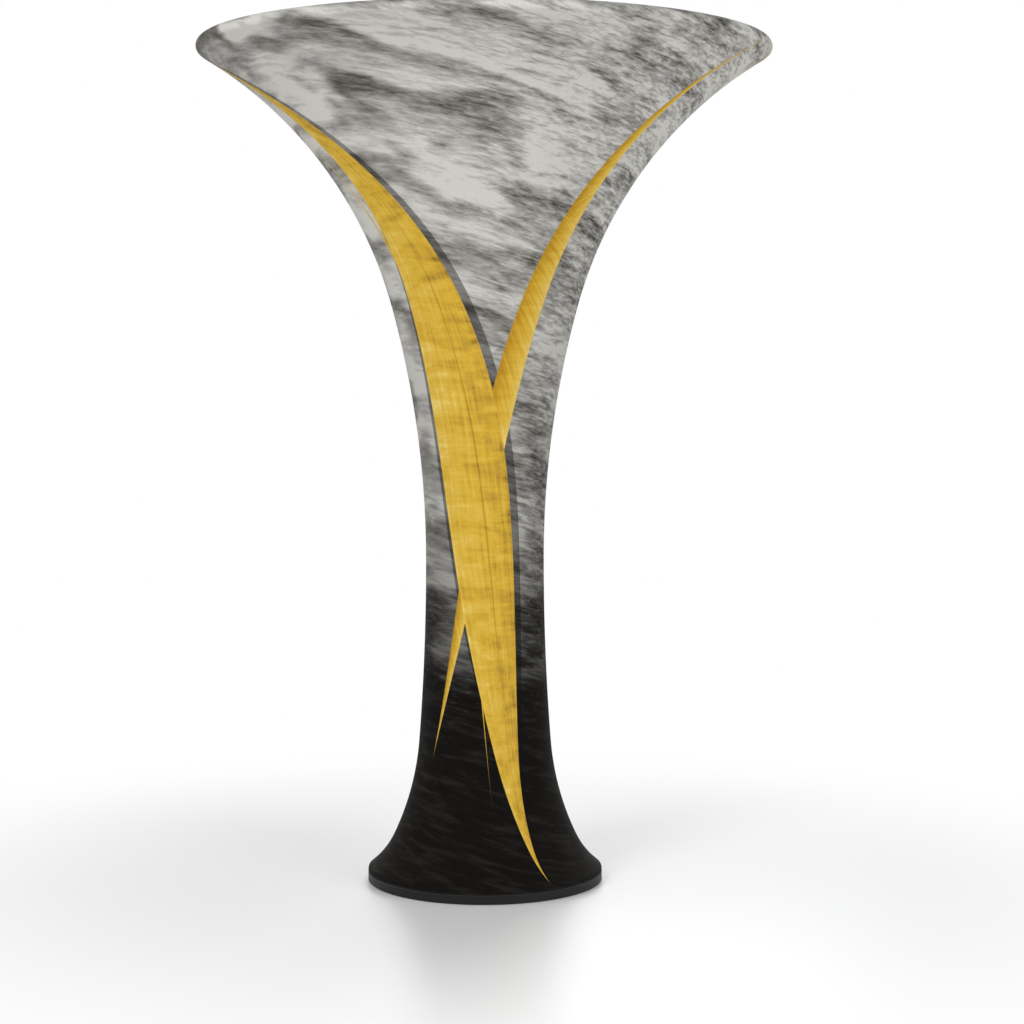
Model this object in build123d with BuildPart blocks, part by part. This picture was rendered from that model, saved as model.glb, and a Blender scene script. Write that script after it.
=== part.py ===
from build123d import *
from math import acos, cos, degrees, radians, sin
import os

# Trade show display tower: a funnel of printed stretch fabric on a bent tube frame.
# Millimetres and degrees. The origin is the centre of the base on the floor, +Z is up,
# and -Y is the front. Slopes are measured from vertical, positive where the funnel opens
# upwards. An inset is a depth under the outside of the cover, square to it.

os.makedirs("parts", exist_ok=True)

# Driving dimensions of the outline, from the foot up
base_radius = 510.0
platform_height = 36.0
hem_height = 19.0
hem_setback = 0.5
foot_bend = 378.5
ankle_bend = 1183.5
stem_bend = 10174.0
shoulder_bend = 4104.0
bell_bend = 1777.5
foot_slope = -52.5
ankle_slope = -25.5
stem_slope = -4.5
waist_slope = 0.0
shoulder_slope = 15.4
bell_slope = 59.4

# Driving dimensions of the pieces
cover_thickness = 2.0
cover_clearance = 0.3
rim_wrap = 140.0
rib_count = 4
rib_radius = 15.0
rib_wall = 1.5
rib_lead_in = 104.0
neck_length = 80.0
neck_wall = 1.5
shoulder_length = 6.0
sliding_clearance = 0.05
lower_joint_slope = -1.0
upper_joint_slope = 22.0
hoop_radius = 12.5
hoop_wall = 2.0
hoop_rib_gap = 0.3
knee_slope = -4.0
shoulder_hoop_slope = 14.0
neck_hoop_slope = 38.0
hoop_joiner_reach = 50.0
top_tube_radius = 22.5
top_tube_wall = 2.0
top_joiner_reach = 80.0
top_joiner_wall = 3.0
saddle_thickness = 4.0
saddle_width = 64.0
saddle_from = 150.0
saddle_to = 250.0
saddle_edge = 1.0
rim_screw_angle = 225.0
rib_top_setback = 15.0
clamp_width = 44.0
clamp_length = 40.0
clamp_corner = 6.0
clamp_clearance = 0.1
screw_radius = 3.0
screw_hole_clearance = 0.2
screw_head_radius = 5.5
screw_head_height = 4.0
screw_head_stand = 0.05
screw_bite = 2.0
button_radius = 4.4
button_hole_clearance = 0.1
button_rise = 4.0
button_collar_radius = 6.0
button_collar_height = 2.0
button_edge = 1.0
leaf_width = 8.0
leaf_thickness = 1.2
leaf_reach = 30.0
leaf_clearance = 0.3
tray_plate = 6.0
tray_skirt = 5.0
tray_lift = 3.0
tray_gap = 0.5
tray_bolt_radius = 4.0
tray_bolt_clearance = 0.2
tray_bolt_places = (180.0, 400.0)
bolt_head_flats = 13.0
bolt_head_height = 5.3
bolt_end_spare = 4.0
nut_hub_radius = 7.0
nut_hub_height = 9.0
wing_length = 12.0
wing_width = 10.0
wing_thickness = 3.0
foot_pad_radius = 20.0
foot_pad_edge = 2.0
foot_pad_places = ((455.0, 0.2), (455.0, 0.8), (240.0, 0.5), (85.0, 0.5))
hem_ring_width = 10.0
hem_ring_height = 17.0
hem_screws_per_quarter = 2
hem_screw_radius = 2.5
hem_screw_head_radius = 3.4
hem_screw_head_height = 3.0
hem_screw_hole_clearance = 0.15
flange_radius = 38.0
flange_thickness = 6.0
collar_radius = 18.0
spigot_reach = 70.0
socket_screw_circle = 28.0
socket_screw_bite = 9.0
socket_pin_drop = 70.0
zip_opening = 16.0
tape_clearance = 0.3
tape_inner = 3.3
coil_outer = 3.0
coil_inner = 0.8
coil_stand = 0.3
zip_low_slope = -25.3
zip_high_slope = 57.0
slider_rest_slope = -24.0
slider_length = 18.0
slider_width = 13.0
slider_plate = 2.2
slider_gap = 0.6
slider_post = 0.8
slider_post_length = 5.0
pull_pin_radius = 0.9
pull_pin_clearance = 0.1
pull_eye_radius = 2.0
pull_pin_height = 2.6
pull_length = 30.0
pull_width = 6.0
pull_thickness = 1.4
lug_thickness = 1.8
lug_gap = 0.2

# The meridian: tangent arcs whose centres stand outside the funnel
cover_foot_radius = base_radius - hem_setback
cover_foot_height = platform_height + hem_height
bend_slopes = [foot_slope, ankle_slope, stem_slope, waist_slope, shoulder_slope, bell_slope]
bend_radii = [foot_bend, ankle_bend, stem_bend, shoulder_bend, bell_bend]
bends = []
corner = (cover_foot_radius, cover_foot_height)
for bend_radius, low_slope, high_slope in zip(bend_radii, bend_slopes, bend_slopes[1:]):
    low, high = radians(low_slope), radians(high_slope)
    centre = (corner[0] + bend_radius * cos(low), corner[1] - bend_radius * sin(low))
    bends.append((centre, bend_radius, low_slope, high_slope))
    corner = (centre[0] - bend_radius * cos(high), centre[1] + bend_radius * sin(high))

rib_azimuths = [(index + 0.5) * 360.0 / rib_count for index in range(rib_count)]
cover_inset = cover_thickness + cover_clearance
hoop_inset = cover_inset + hoop_radius
rib_inset = hoop_inset + hoop_radius + hoop_rib_gap + rib_radius
rim_radius = top_tube_radius + cover_inset
rim_centre = (
    corner[0] - rim_radius * cos(radians(bell_slope)),
    corner[1] + rim_radius * sin(radians(bell_slope)),
)
screw_hole_radius = screw_radius + screw_hole_clearance
rib_bore = rib_radius - rib_wall
neck_radius = rib_bore - sliding_clearance
neck_bore = neck_radius - neck_wall


def find_bend(slope):
    """Return the bend that holds a slope."""
    for bend in bends:
        if slope <= bend[3]:
            return bend
    return bends[-1]


def meridian_point(slope, inset=0.0):
    """Return radius and height of the meridian at a slope, at a depth under the cover."""
    centre, bend_radius, _, _ = find_bend(slope)
    reach = bend_radius + inset
    return (centre[0] - reach * cos(radians(slope)), centre[1] + reach * sin(radians(slope)))


def slope_span(length, slope):
    """Return the change of slope over a length along the rib line."""
    return degrees(length / (find_bend(slope)[1] + rib_inset))


def radial_plane(azimuth):
    """Return the upright plane through the tower's axis: local x is radius, y is height."""
    turn = radians(azimuth)
    return Plane((0, 0, 0), x_dir=(cos(turn), sin(turn), 0), z_dir=(sin(turn), -cos(turn), 0))


def to_space(azimuth, radius, height):
    """Return the point at a radius and height over an azimuth."""
    turn = radians(azimuth)
    return Vector(radius * cos(turn), radius * sin(turn), height)


def station(azimuth, slope, inset, drop=0.0):
    """Return a plane on the meridian: x goes round the tower, y up the meridian, z outwards.

    A drop moves it straight down along the slope, as on a straight run of tube.
    """
    turn, lean = radians(azimuth), radians(slope)
    radius, height = meridian_point(slope, inset)
    origin = to_space(azimuth, radius - drop * sin(lean), height - drop * cos(lean))
    outward = (cos(lean) * cos(turn), cos(lean) * sin(turn), -sin(lean))
    return Plane(origin, x_dir=(-sin(turn), cos(turn), 0), z_dir=outward)


def rim_station(azimuth, angle, reach):
    """Return a plane whose z points at the middle of the top tube's section."""
    turn, lean = radians(azimuth), radians(angle)
    radius = rim_centre[0] + reach * cos(lean)
    height = rim_centre[1] + reach * sin(lean)
    inward = (-cos(lean) * cos(turn), -cos(lean) * sin(turn), -sin(lean))
    return Plane(to_space(azimuth, radius, height), x_dir=(-sin(turn), cos(turn), 0), z_dir=inward)


def trace_meridian(inset, slope_from, slope_to):
    """Draw the meridian's arcs between two slopes, at a depth under the cover."""
    for centre, bend_radius, low_slope, high_slope in bends:
        low = max(low_slope, slope_from)
        high = min(high_slope, slope_to)
        if high - low > 1e-6:
            CenterArc(centre, bend_radius + inset, 180.0 - low, low - high)


def sweep_rib(azimuth, slope_from, slope_to, outer, inner, lead_in=0.0):
    """Sweep a round tube along the rib line, with a straight run below its lower end."""
    lean = radians(slope_from)
    radius, height = meridian_point(slope_from, rib_inset)
    start = (radius - lead_in * sin(lean), height - lead_in * cos(lean))
    with BuildLine(radial_plane(azimuth)) as route:
        if lead_in > 0:
            Line(start, (radius, height))
        trace_meridian(rib_inset, slope_from, slope_to)
    turn = radians(azimuth)
    across = (-sin(turn), cos(turn), 0)
    along = (sin(lean) * cos(turn), sin(lean) * sin(turn), cos(lean))
    with BuildSketch(Plane(to_space(azimuth, *start), x_dir=across, z_dir=along)) as section:
        Circle(outer)
        Circle(inner, mode=Mode.SUBTRACT)
    sweep(section.sketch, path=route.line)


def drill(plane, radius, depth_from, depth_to, mode=Mode.SUBTRACT):
    """Add or cut a round rod along a plane's normal."""
    with BuildSketch(plane.offset(depth_from)) as section:
        Circle(radius)
    extrude(section.sketch, amount=depth_to - depth_from, mode=mode)


def add_screw(plane, head_under, length):
    """Add a round-headed screw whose head stands back from the plane's depth."""
    head_face = head_under - screw_head_stand
    drill(plane, screw_head_radius, head_face - screw_head_height, head_face, Mode.ADD)
    drill(plane, screw_radius, head_face, head_under + length, Mode.ADD)


def ring(plane, centre, outer, inner, arc, mode=Mode.ADD):
    """Revolve a round tube section, or a round bar's, about the tower's axis."""
    with BuildSketch(plane) as section:
        with Locations(centre):
            Circle(outer)
            if inner > 0:
                Circle(inner, mode=Mode.SUBTRACT)
    revolve(section.sketch, axis=Axis.Z, revolution_arc=arc, mode=mode)


def save(piece, name):
    """Label a finished piece and write it under its own name."""
    piece.part.label = name
    export_step(piece.part, f"parts/{name}.step")


def save_turned(piece, azimuth, name):
    """Write a copy of a piece, turned about the tower's axis."""
    with BuildPart() as copy:
        add(piece.part.rotate(Axis.Z, azimuth))
    save(copy, name)


def save_circle(piece, azimuths, name):
    """Write copies of a piece at several azimuths as one group."""
    with BuildPart() as group:
        for azimuth in azimuths:
            add(piece.part.rotate(Axis.Z, azimuth))
    save(group, name)


def around(radius, length):
    """Return the azimuth that a length spans at a radius."""
    return degrees(length / radius)


# Base platform: four quadrant trays, bolted together through their radial flanges.
# Repeated pieces are made once, over azimuth 0, and turned to their places.
quarter = 360.0 / rib_count
edge_azimuths = [azimuth - quarter / 2 for azimuth in rib_azimuths]
tray_height = platform_height - tray_lift
tray_inside = tray_height - tray_plate
half_gap = tray_gap / 2
socket_radius, socket_height = meridian_point(ankle_slope, rib_inset)
socket_lean = radians(ankle_slope)
flange_top = platform_height + flange_thickness
socket_run = (socket_height - flange_top) / cos(socket_lean)
flange_centre = socket_radius - socket_run * sin(socket_lean)
socket_screw_turns = (45.0, 135.0, 225.0, 315.0)
hem_ring_outer = cover_foot_radius - cover_inset
hem_ring_middle = hem_ring_outer - hem_ring_width / 2
hem_ring_top = platform_height + hem_ring_height
hem_screw_turns = [
    (i + 0.5) * quarter / hem_screws_per_quarter for i in range(hem_screws_per_quarter)
]
hem_screw_hole = hem_screw_radius + hem_screw_hole_clearance
bolt_height = tray_lift + tray_inside / 2
bolt_seat = half_gap + tray_skirt

with BuildPart() as base_plate:
    with BuildSketch(Plane.XY.offset(tray_lift)) as quadrant:
        Circle(base_radius)
        with Locations((half_gap, half_gap)):
            Rectangle(base_radius, base_radius, align=Align.MIN, mode=Mode.INTERSECT)
    extrude(amount=tray_height)
    with BuildSketch(Plane.XY.offset(tray_lift)):
        add(quadrant.sketch_local)
        offset(amount=-tray_skirt, kind=Kind.INTERSECTION)
    extrude(amount=tray_inside, mode=Mode.SUBTRACT)
    for place in tray_bolt_places:
        for centre, normal in (((place, 0, bolt_height), Plane.XZ.z_dir),
                               ((0, place, bolt_height), Plane.YZ.z_dir)):
            drill(Plane(centre, z_dir=normal), tray_bolt_radius + tray_bolt_clearance,
                  -bolt_seat - 1, bolt_seat + 1)
    with BuildSketch(Plane(to_space(quarter / 2, flange_centre, platform_height))):
        for turn in socket_screw_turns:
            with PolarLocations(socket_screw_circle, 1, start_angle=quarter / 2 + turn):
                Circle(screw_hole_radius)
    extrude(amount=-tray_plate, mode=Mode.SUBTRACT)
    for turn in hem_screw_turns:
        place = to_space(turn, hem_ring_middle, platform_height)
        drill(Plane(place), hem_screw_hole, -tray_plate, 0)
for index, azimuth in enumerate(edge_azimuths, start=1):
    save_turned(base_plate, azimuth, f"base_plate_{index}")

with BuildPart() as join_bolts:
    for place in tray_bolt_places:
        across = Plane((place, 0, bolt_height), x_dir=(0, 0, 1), z_dir=(0, 1, 0))
        with BuildSketch(across.offset(-bolt_seat - bolt_head_height)):
            RegularPolygon(bolt_head_flats / 2, 6, major_radius=False)
        extrude(amount=bolt_head_height)
        drill(across, tray_bolt_radius, -bolt_seat,
              bolt_seat + nut_hub_height + bolt_end_spare, Mode.ADD)
save_circle(join_bolts, edge_azimuths, "base_join_bolts")

with BuildPart() as wing_nuts:
    for place in tray_bolt_places:
        face = Plane((place, 0, bolt_height), x_dir=(1, 0, 0), z_dir=(0, 1, 0)).offset(bolt_seat)
        with BuildSketch(face):
            Circle(nut_hub_radius)
        extrude(amount=nut_hub_height)
        with BuildSketch(face.offset(nut_hub_height - wing_width / 2)):
            Rectangle(2 * (nut_hub_radius + wing_length), wing_thickness)
        extrude(amount=wing_width)
        drill(face, tray_bolt_radius + sliding_clearance, -1, nut_hub_height + wing_width)
save_circle(wing_nuts, edge_azimuths, "base_wing_nuts")

with BuildPart() as foot_pad:
    Cylinder(
        foot_pad_radius,
        tray_lift + tray_inside,
        align=(Align.CENTER, Align.CENTER, Align.MIN),
    )
    chamfer(foot_pad.edges().group_by(Axis.Z)[0], foot_pad_edge)

with BuildPart() as quarter_feet:
    for place, share in foot_pad_places:
        with Locations(to_space(share * quarter, place, 0)):
            add(foot_pad.part)
save_circle(quarter_feet, edge_azimuths, "rubber_feet")

# Hem ring: a flat bar in two halves that the foot of the cover is stretched over
hem_screw_azimuths = [edge + turn for edge in edge_azimuths for turn in hem_screw_turns]
with BuildPart() as hem_ring:
    with BuildSketch(radial_plane(0)):
        with Locations((hem_ring_outer - hem_ring_width, platform_height)):
            Rectangle(hem_ring_width, hem_ring_height, align=Align.MIN)
    revolve(axis=Axis.Z, revolution_arc=180)
    for azimuth in hem_screw_azimuths:
        if azimuth < 180.0:
            top = Plane(to_space(azimuth, hem_ring_middle, hem_ring_top))
            drill(top, hem_screw_hole, -hem_ring_height, 0)
            drill(top, hem_screw_head_radius + hem_screw_hole_clearance,
                  -hem_screw_head_height, 0)
save_turned(hem_ring, 0, "hem_ring_1")
save_turned(hem_ring, 180, "hem_ring_2")

# Rib sockets: a flange on the platform, a slanted collar and a spigot inside the rib
collar_run = socket_run - rib_lead_in
socket_pin = station(0, ankle_slope, rib_inset, socket_pin_drop)
with BuildPart() as rib_socket:
    rib_foot = station(0, ankle_slope, rib_inset, rib_lead_in)
    along = Plane(rib_foot.origin, z_dir=rib_foot.y_dir)
    drill(along, collar_radius, -collar_run - collar_radius, 0, Mode.ADD)
    drill(along, rib_bore - sliding_clearance, -1, spigot_reach, Mode.ADD)
    with Locations((flange_centre, 0, platform_height)):
        Box(
            4 * flange_radius, 4 * flange_radius, 2 * collar_radius,
            align=(Align.CENTER, Align.CENTER, Align.MAX), mode=Mode.SUBTRACT,
        )
        Cylinder(flange_radius, flange_thickness, align=(Align.CENTER, Align.CENTER, Align.MIN))
    with BuildSketch(Plane((flange_centre, 0, platform_height))):
        for turn in socket_screw_turns:
            with PolarLocations(socket_screw_circle, 1, start_angle=turn):
                Circle(screw_hole_radius)
    extrude(amount=flange_thickness, mode=Mode.SUBTRACT)
    drill(socket_pin, screw_hole_radius, -rib_radius, 0)
for index, azimuth in enumerate(rib_azimuths, start=1):
    save_turned(rib_socket, azimuth, f"rib_socket_{index}")

with BuildPart() as quarter_screws:
    with BuildSketch(Plane((flange_centre, 0, flange_top))):
        for turn in socket_screw_turns:
            with PolarLocations(socket_screw_circle, 1, start_angle=turn):
                Circle(screw_head_radius)
    extrude(amount=screw_head_height)
    with BuildSketch(Plane((flange_centre, 0, flange_top))):
        for turn in socket_screw_turns:
            with PolarLocations(socket_screw_circle, 1, start_angle=turn):
                Circle(screw_radius)
    extrude(amount=-flange_thickness - socket_screw_bite)
    for turn in hem_screw_turns:
        top = Plane(to_space(turn - quarter / 2, hem_ring_middle, hem_ring_top))
        drill(top, hem_screw_head_radius, -hem_screw_head_height, 0, Mode.ADD)
        drill(top, hem_screw_radius, -hem_ring_height - tray_plate,
              -hem_screw_head_height, Mode.ADD)
save_circle(quarter_screws, rib_azimuths, "base_screws")

# Ribs: four bent tubes, each in three lengths that plug into the one below
lower_button_slope = lower_joint_slope - slope_span(neck_length / 2, lower_joint_slope)
upper_button_slope = upper_joint_slope - slope_span(neck_length / 2, upper_joint_slope)
hoop_slopes = {
    "knee": knee_slope,
    "waist": waist_slope,
    "shoulder": shoulder_hoop_slope,
    "neck": neck_hoop_slope,
}
button_hole = button_radius + button_hole_clearance
saddle_inner = top_tube_radius + sliding_clearance
saddle_outer = saddle_inner + saddle_thickness
saddle_arc = around(rim_centre[0], saddle_width)
saddle_screw_turn = around(rim_centre[0], saddle_width / 2 - screw_head_radius - saddle_edge)
rib_top_slope = bell_slope - slope_span(rib_top_setback, bell_slope)
rib_ends = {
    "lower": (ankle_slope, lower_joint_slope, (lower_button_slope,)),
    "middle": (lower_joint_slope, upper_joint_slope, (lower_button_slope, upper_button_slope)),
    "upper": (upper_joint_slope, rib_top_slope, (upper_button_slope,)),
}


def weld_saddle():
    """Cope the rib's top round the top ring, and weld a drilled saddle plate to it."""
    ring(radial_plane(-saddle_arc), rim_centre, saddle_inner + saddle_thickness / 2, 0,
         2 * saddle_arc, Mode.SUBTRACT)
    with BuildSketch(radial_plane(-saddle_arc / 2)) as section:
        with BuildLine():
            inner = CenterArc(rim_centre, saddle_inner, saddle_from, saddle_to - saddle_from)
            outer = CenterArc(rim_centre, saddle_outer, saddle_from, saddle_to - saddle_from)
            Line(inner @ 0, outer @ 0)
            Line(inner @ 1, outer @ 1)
        make_face()
    revolve(section.sketch, axis=Axis.Z, revolution_arc=saddle_arc)
    for side in (-1, 1):
        drill(rim_station(side * saddle_screw_turn, rim_screw_angle, saddle_outer),
              screw_hole_radius, -1, saddle_thickness + 1)


for name, (slope_from, slope_to, button_slopes) in rib_ends.items():
    with BuildPart() as rib:
        if name == "lower":
            sweep_rib(0, slope_from, slope_to, rib_radius, rib_bore, rib_lead_in)
            drill(socket_pin, screw_hole_radius, -rib_radius - 1, 0)
        else:
            shoulder_end = slope_from + slope_span(shoulder_length, slope_from)
            neck_end = slope_from - slope_span(neck_length, slope_from)
            sweep_rib(0, shoulder_end, slope_to, rib_radius, rib_bore)
            if name == "upper":
                weld_saddle()
            sweep_rib(0, slope_from, shoulder_end, rib_radius, neck_bore)
            sweep_rib(0, neck_end, slope_from, neck_radius, neck_bore)
        for button_slope in button_slopes:
            drill(station(0, button_slope, rib_inset), button_hole,
                  -rib_radius - 1, -neck_bore / 2)
        for hoop_slope in hoop_slopes.values():
            if slope_from < hoop_slope < slope_to:
                drill(station(0, hoop_slope, rib_inset), screw_hole_radius,
                      -rib_radius - 1, rib_radius + 1)
    for index, azimuth in enumerate(rib_azimuths, start=1):
        save_turned(rib, azimuth, f"rib_{name}_{index}")

# Snap buttons: a stud with a collar on the free leg of a leaf spring, pressed outwards
# through the inner wall of the neck, and the fixed leg that lies on the wall behind it
leaf_front = leaf_clearance - (neck_bore**2 - button_collar_radius**2) ** 0.5
leaf_back = ((neck_bore - leaf_clearance) ** 2 - (leaf_width / 2) ** 2) ** 0.5
leaf_seat = leaf_front + button_collar_height - leaf_thickness
button_slopes = {"low": lower_button_slope, "high": upper_button_slope}
for level, button_slope in button_slopes.items():
    seat = station(0, button_slope, rib_inset)
    with BuildPart() as snap_button:
        drill(seat, button_radius, -rib_radius - button_rise, leaf_front, Mode.ADD)
        tip = snap_button.faces().sort_by(Axis(seat.origin, seat.z_dir))[0]
        fillet(tip.edges(), button_edge)
        drill(seat, button_collar_radius, leaf_front, leaf_front + button_collar_height,
              Mode.ADD)
        with BuildSketch(seat.offset(leaf_seat)):
            Rectangle(leaf_width, leaf_reach, align=(Align.CENTER, Align.MAX))
        extrude(amount=leaf_thickness)
    for index, azimuth in enumerate(rib_azimuths, start=1):
        save_turned(snap_button, azimuth, f"snap_button_{level}_{index}")

with BuildPart() as spring_pair:
    for button_slope in button_slopes.values():
        seat = station(0, button_slope, rib_inset)
        back_leg = leaf_reach + leaf_clearance + leaf_thickness
        with BuildSketch(seat.offset(leaf_back - leaf_thickness)):
            Rectangle(leaf_width, back_leg, align=(Align.CENTER, Align.MAX))
        extrude(amount=leaf_thickness)
        with BuildSketch(seat.offset(leaf_seat)):
            with Locations((0, -leaf_reach - leaf_clearance)):
                Rectangle(leaf_width, leaf_thickness, align=(Align.CENTER, Align.MAX))
        extrude(amount=leaf_back - leaf_seat)
save_circle(spring_pair, rib_azimuths, "snap_springs")

# Hoops: round tubes just under the cover, closed at knee and waist, in halves above
split_hoops = ("shoulder", "neck")
hoop_bore = hoop_radius - hoop_wall


def joint_turns(radius, reach):
    """Return how far round the two screws stand beside a tube joint."""
    turn = around(radius, reach / 2)
    return (-turn, turn)


for hoop, hoop_slope in hoop_slopes.items():
    hoop_centre = meridian_point(hoop_slope, hoop_inset)
    with BuildPart() as half_hoop:
        ring(radial_plane(0), hoop_centre, hoop_radius, hoop_bore, 180.0)
        turns = [azimuth for azimuth in rib_azimuths if azimuth < 180.0]
        if hoop in split_hoops:
            after_start, before_end = joint_turns(hoop_centre[0], hoop_joiner_reach)[::-1]
            turns += [after_start, 180.0 + before_end]
        for turn in turns:
            drill(station(turn, hoop_slope, hoop_inset), screw_hole_radius,
                  -hoop_radius - 1, 0)
    if hoop in split_hoops:
        save_turned(half_hoop, 0, f"{hoop}_hoop_1")
        save_turned(half_hoop, 180, f"{hoop}_hoop_2")
    else:
        save_circle(half_hoop, (0, 180), f"{hoop}_hoop")

with BuildPart() as joiner_pair:
    for hoop in split_hoops:
        hoop_centre = meridian_point(hoop_slopes[hoop], hoop_inset)
        half_arc = around(hoop_centre[0], hoop_joiner_reach)
        ring(radial_plane(-half_arc), hoop_centre, hoop_bore - sliding_clearance, 0,
             2 * half_arc)
        for turn in joint_turns(hoop_centre[0], hoop_joiner_reach):
            drill(station(turn, hoop_slopes[hoop], hoop_inset), screw_hole_radius,
                  -hoop_radius, 0)
save_circle(joiner_pair, (0, 180), "hoop_joiners")

# Hoop clamps: blocks hollowed on one side for the rib and on the other for the hoop
clamp_depth = rib_inset - hoop_inset
clamp_parts = []
for hoop_slope in hoop_slopes.values():
    hoop_centre = meridian_point(hoop_slope, hoop_inset)
    clamp_arc = around(hoop_centre[0], clamp_width)
    seat = station(0, hoop_slope, rib_inset)
    along = Plane(seat.origin, z_dir=seat.y_dir)
    with BuildPart() as hoop_clamp:
        with BuildSketch(seat):
            RectangleRounded(clamp_width, clamp_length, clamp_corner)
        extrude(amount=clamp_depth)
        drill(along, rib_radius + clamp_clearance, -clamp_length, clamp_length)
        ring(radial_plane(-clamp_arc), hoop_centre, hoop_radius + clamp_clearance, 0,
             2 * clamp_arc, Mode.SUBTRACT)
        drill(seat, screw_hole_radius, -1, clamp_depth)
    clamp_parts.append(hoop_clamp.part)

with BuildPart() as clamp_column:
    for clamp_part in clamp_parts:
        add(clamp_part)
save_circle(clamp_column, rib_azimuths, "hoop_clamps")

# Top ring: a thick tube in quarters, which the cover is wrapped over
top_tube_bore = top_tube_radius - top_tube_wall
top_joint_turns = joint_turns(rim_centre[0], top_joiner_reach)
with BuildPart() as top_ring:
    ring(radial_plane(0), rim_centre, top_tube_radius, top_tube_bore, quarter)
    for turn in (
        quarter / 2 - saddle_screw_turn,
        quarter / 2 + saddle_screw_turn,
        top_joint_turns[1],
        quarter + top_joint_turns[0],
    ):
        drill(rim_station(turn, rim_screw_angle, top_tube_radius), screw_hole_radius,
              -1, top_tube_radius / 2)
for index, azimuth in enumerate(edge_azimuths, start=1):
    save_turned(top_ring, azimuth, f"top_ring_{index}")

with BuildPart() as top_joiner:
    joiner_outer = top_tube_bore - sliding_clearance
    half_arc = around(rim_centre[0], top_joiner_reach)
    ring(radial_plane(-half_arc), rim_centre, joiner_outer, joiner_outer - top_joiner_wall,
         2 * half_arc)
    for turn in top_joint_turns:
        drill(rim_station(turn, rim_screw_angle, top_tube_radius), screw_hole_radius,
              0, top_tube_radius / 2)
save_circle(top_joiner, edge_azimuths, "top_ring_joiners")

# Frame screws: one kind of screw for sockets, clamps, hoop joints, saddles and top joints
with BuildPart() as rib_screws:
    add_screw(socket_pin, -rib_radius, rib_radius - screw_bite)
    clamp_screw = 2 * rib_radius + hoop_rib_gap + hoop_wall + screw_bite
    for hoop_slope in hoop_slopes.values():
        add_screw(station(0, hoop_slope, rib_inset), -rib_radius, clamp_screw)
    for side in (-1, 1):
        add_screw(rim_station(side * saddle_screw_turn, rim_screw_angle, saddle_outer), 0,
                  saddle_thickness + top_tube_wall + screw_bite)

with BuildPart() as hoop_joint_screws:
    for hoop in split_hoops:
        for turn in joint_turns(meridian_point(hoop_slopes[hoop], hoop_inset)[0],
                                hoop_joiner_reach):
            add_screw(station(turn, hoop_slopes[hoop], hoop_inset), -hoop_radius,
                      hoop_radius - screw_bite)

with BuildPart() as top_joint_screws:
    for turn in top_joint_turns:
        add_screw(rim_station(turn, rim_screw_angle, top_tube_radius), 0,
                  top_tube_wall + top_joiner_wall + screw_bite)

screw_sets = (
    (rib_screws, rib_azimuths),
    (hoop_joint_screws, (0, 180)),
    (top_joint_screws, edge_azimuths),
)
with BuildPart() as frame_screws:
    for screws, azimuths in screw_sets:
        for azimuth in azimuths:
            add(screws.part.rotate(Axis.Z, azimuth))
save(frame_screws, "frame_screws")

# Cover: stretch fabric from the platform's edge to the top ring, wrapped over the ring
bell_lean = 360.0 - bell_slope


def cover_section():
    """Draw the cover's section from its hem over the top ring."""
    foot_centre = bends[0][0]
    hem_inner = cover_foot_radius - cover_thickness
    foot_cosine = (foot_centre[0] - hem_inner) / (foot_bend + cover_thickness)
    foot_inner_slope = -degrees(acos(foot_cosine))
    foot_inner = meridian_point(foot_inner_slope, cover_thickness)
    hem_bottom = platform_height + cover_clearance
    wrap = rim_wrap + bell_slope
    with BuildLine() as outline:
        Line((cover_foot_radius, hem_bottom), (cover_foot_radius, cover_foot_height))
        trace_meridian(0, foot_slope, bell_slope)
        outer_wrap = CenterArc(rim_centre, rim_radius, bell_lean, wrap)
        inner_wrap = CenterArc(rim_centre, rim_radius - cover_thickness, bell_lean, wrap)
        Line(outer_wrap @ 1, inner_wrap @ 1)
        trace_meridian(cover_thickness, foot_inner_slope, bell_slope)
        Line(foot_inner, (hem_inner, hem_bottom))
        Line((hem_inner, hem_bottom), (cover_foot_radius, hem_bottom))
    make_face(outline.edges())


back = 90.0
cover_panels = {"cover_front": (180.0, 180.0), "cover_back_left": (back, 90.0),
                "cover_back_right": (0.0, 90.0)}
for panel, (start, arc) in cover_panels.items():
    with BuildPart() as cover_panel:
        with BuildSketch(radial_plane(start)):
            cover_section()
        revolve(axis=Axis.Z, revolution_arc=arc)
        if panel != "cover_front":
            Box(zip_opening, 2 * rim_centre[0], 3 * rim_centre[1],
                align=(Align.CENTER, Align.MIN, Align.CENTER), mode=Mode.SUBTRACT)
    save(cover_panel, panel)

# Back closure: hem flap, tapes and coil in the gap between the two back panels
back_plane = radial_plane(back)


def back_strip(across_from, across_to, inset_from, inset_to, slope_from, slope_to):
    """Extrude a strip that follows the back meridian, at a width across it."""
    with BuildSketch(back_plane.offset(across_from)) as section:
        with BuildLine():
            trace_meridian(inset_from, slope_from, slope_to)
            trace_meridian(inset_to, slope_from, slope_to)
            for slope in (slope_from, slope_to):
                Line(meridian_point(slope, inset_from), meridian_point(slope, inset_to))
        make_face()
    extrude(section.sketch, amount=across_to - across_from)


tape_outer = zip_opening / 2 - tape_clearance
with BuildPart() as hem_flap:
    with BuildSketch(back_plane.offset(-tape_outer)):
        cover_section()
    extrude(amount=2 * tape_outer)
    flap_top = station(back, zip_low_slope - slope_span(tape_clearance, zip_low_slope), 0)
    upper_side = Plane(flap_top.origin, z_dir=flap_top.y_dir)
    split(bisect_by=upper_side, keep=Keep.BOTTOM)
save(hem_flap, "hem_flap")

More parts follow.
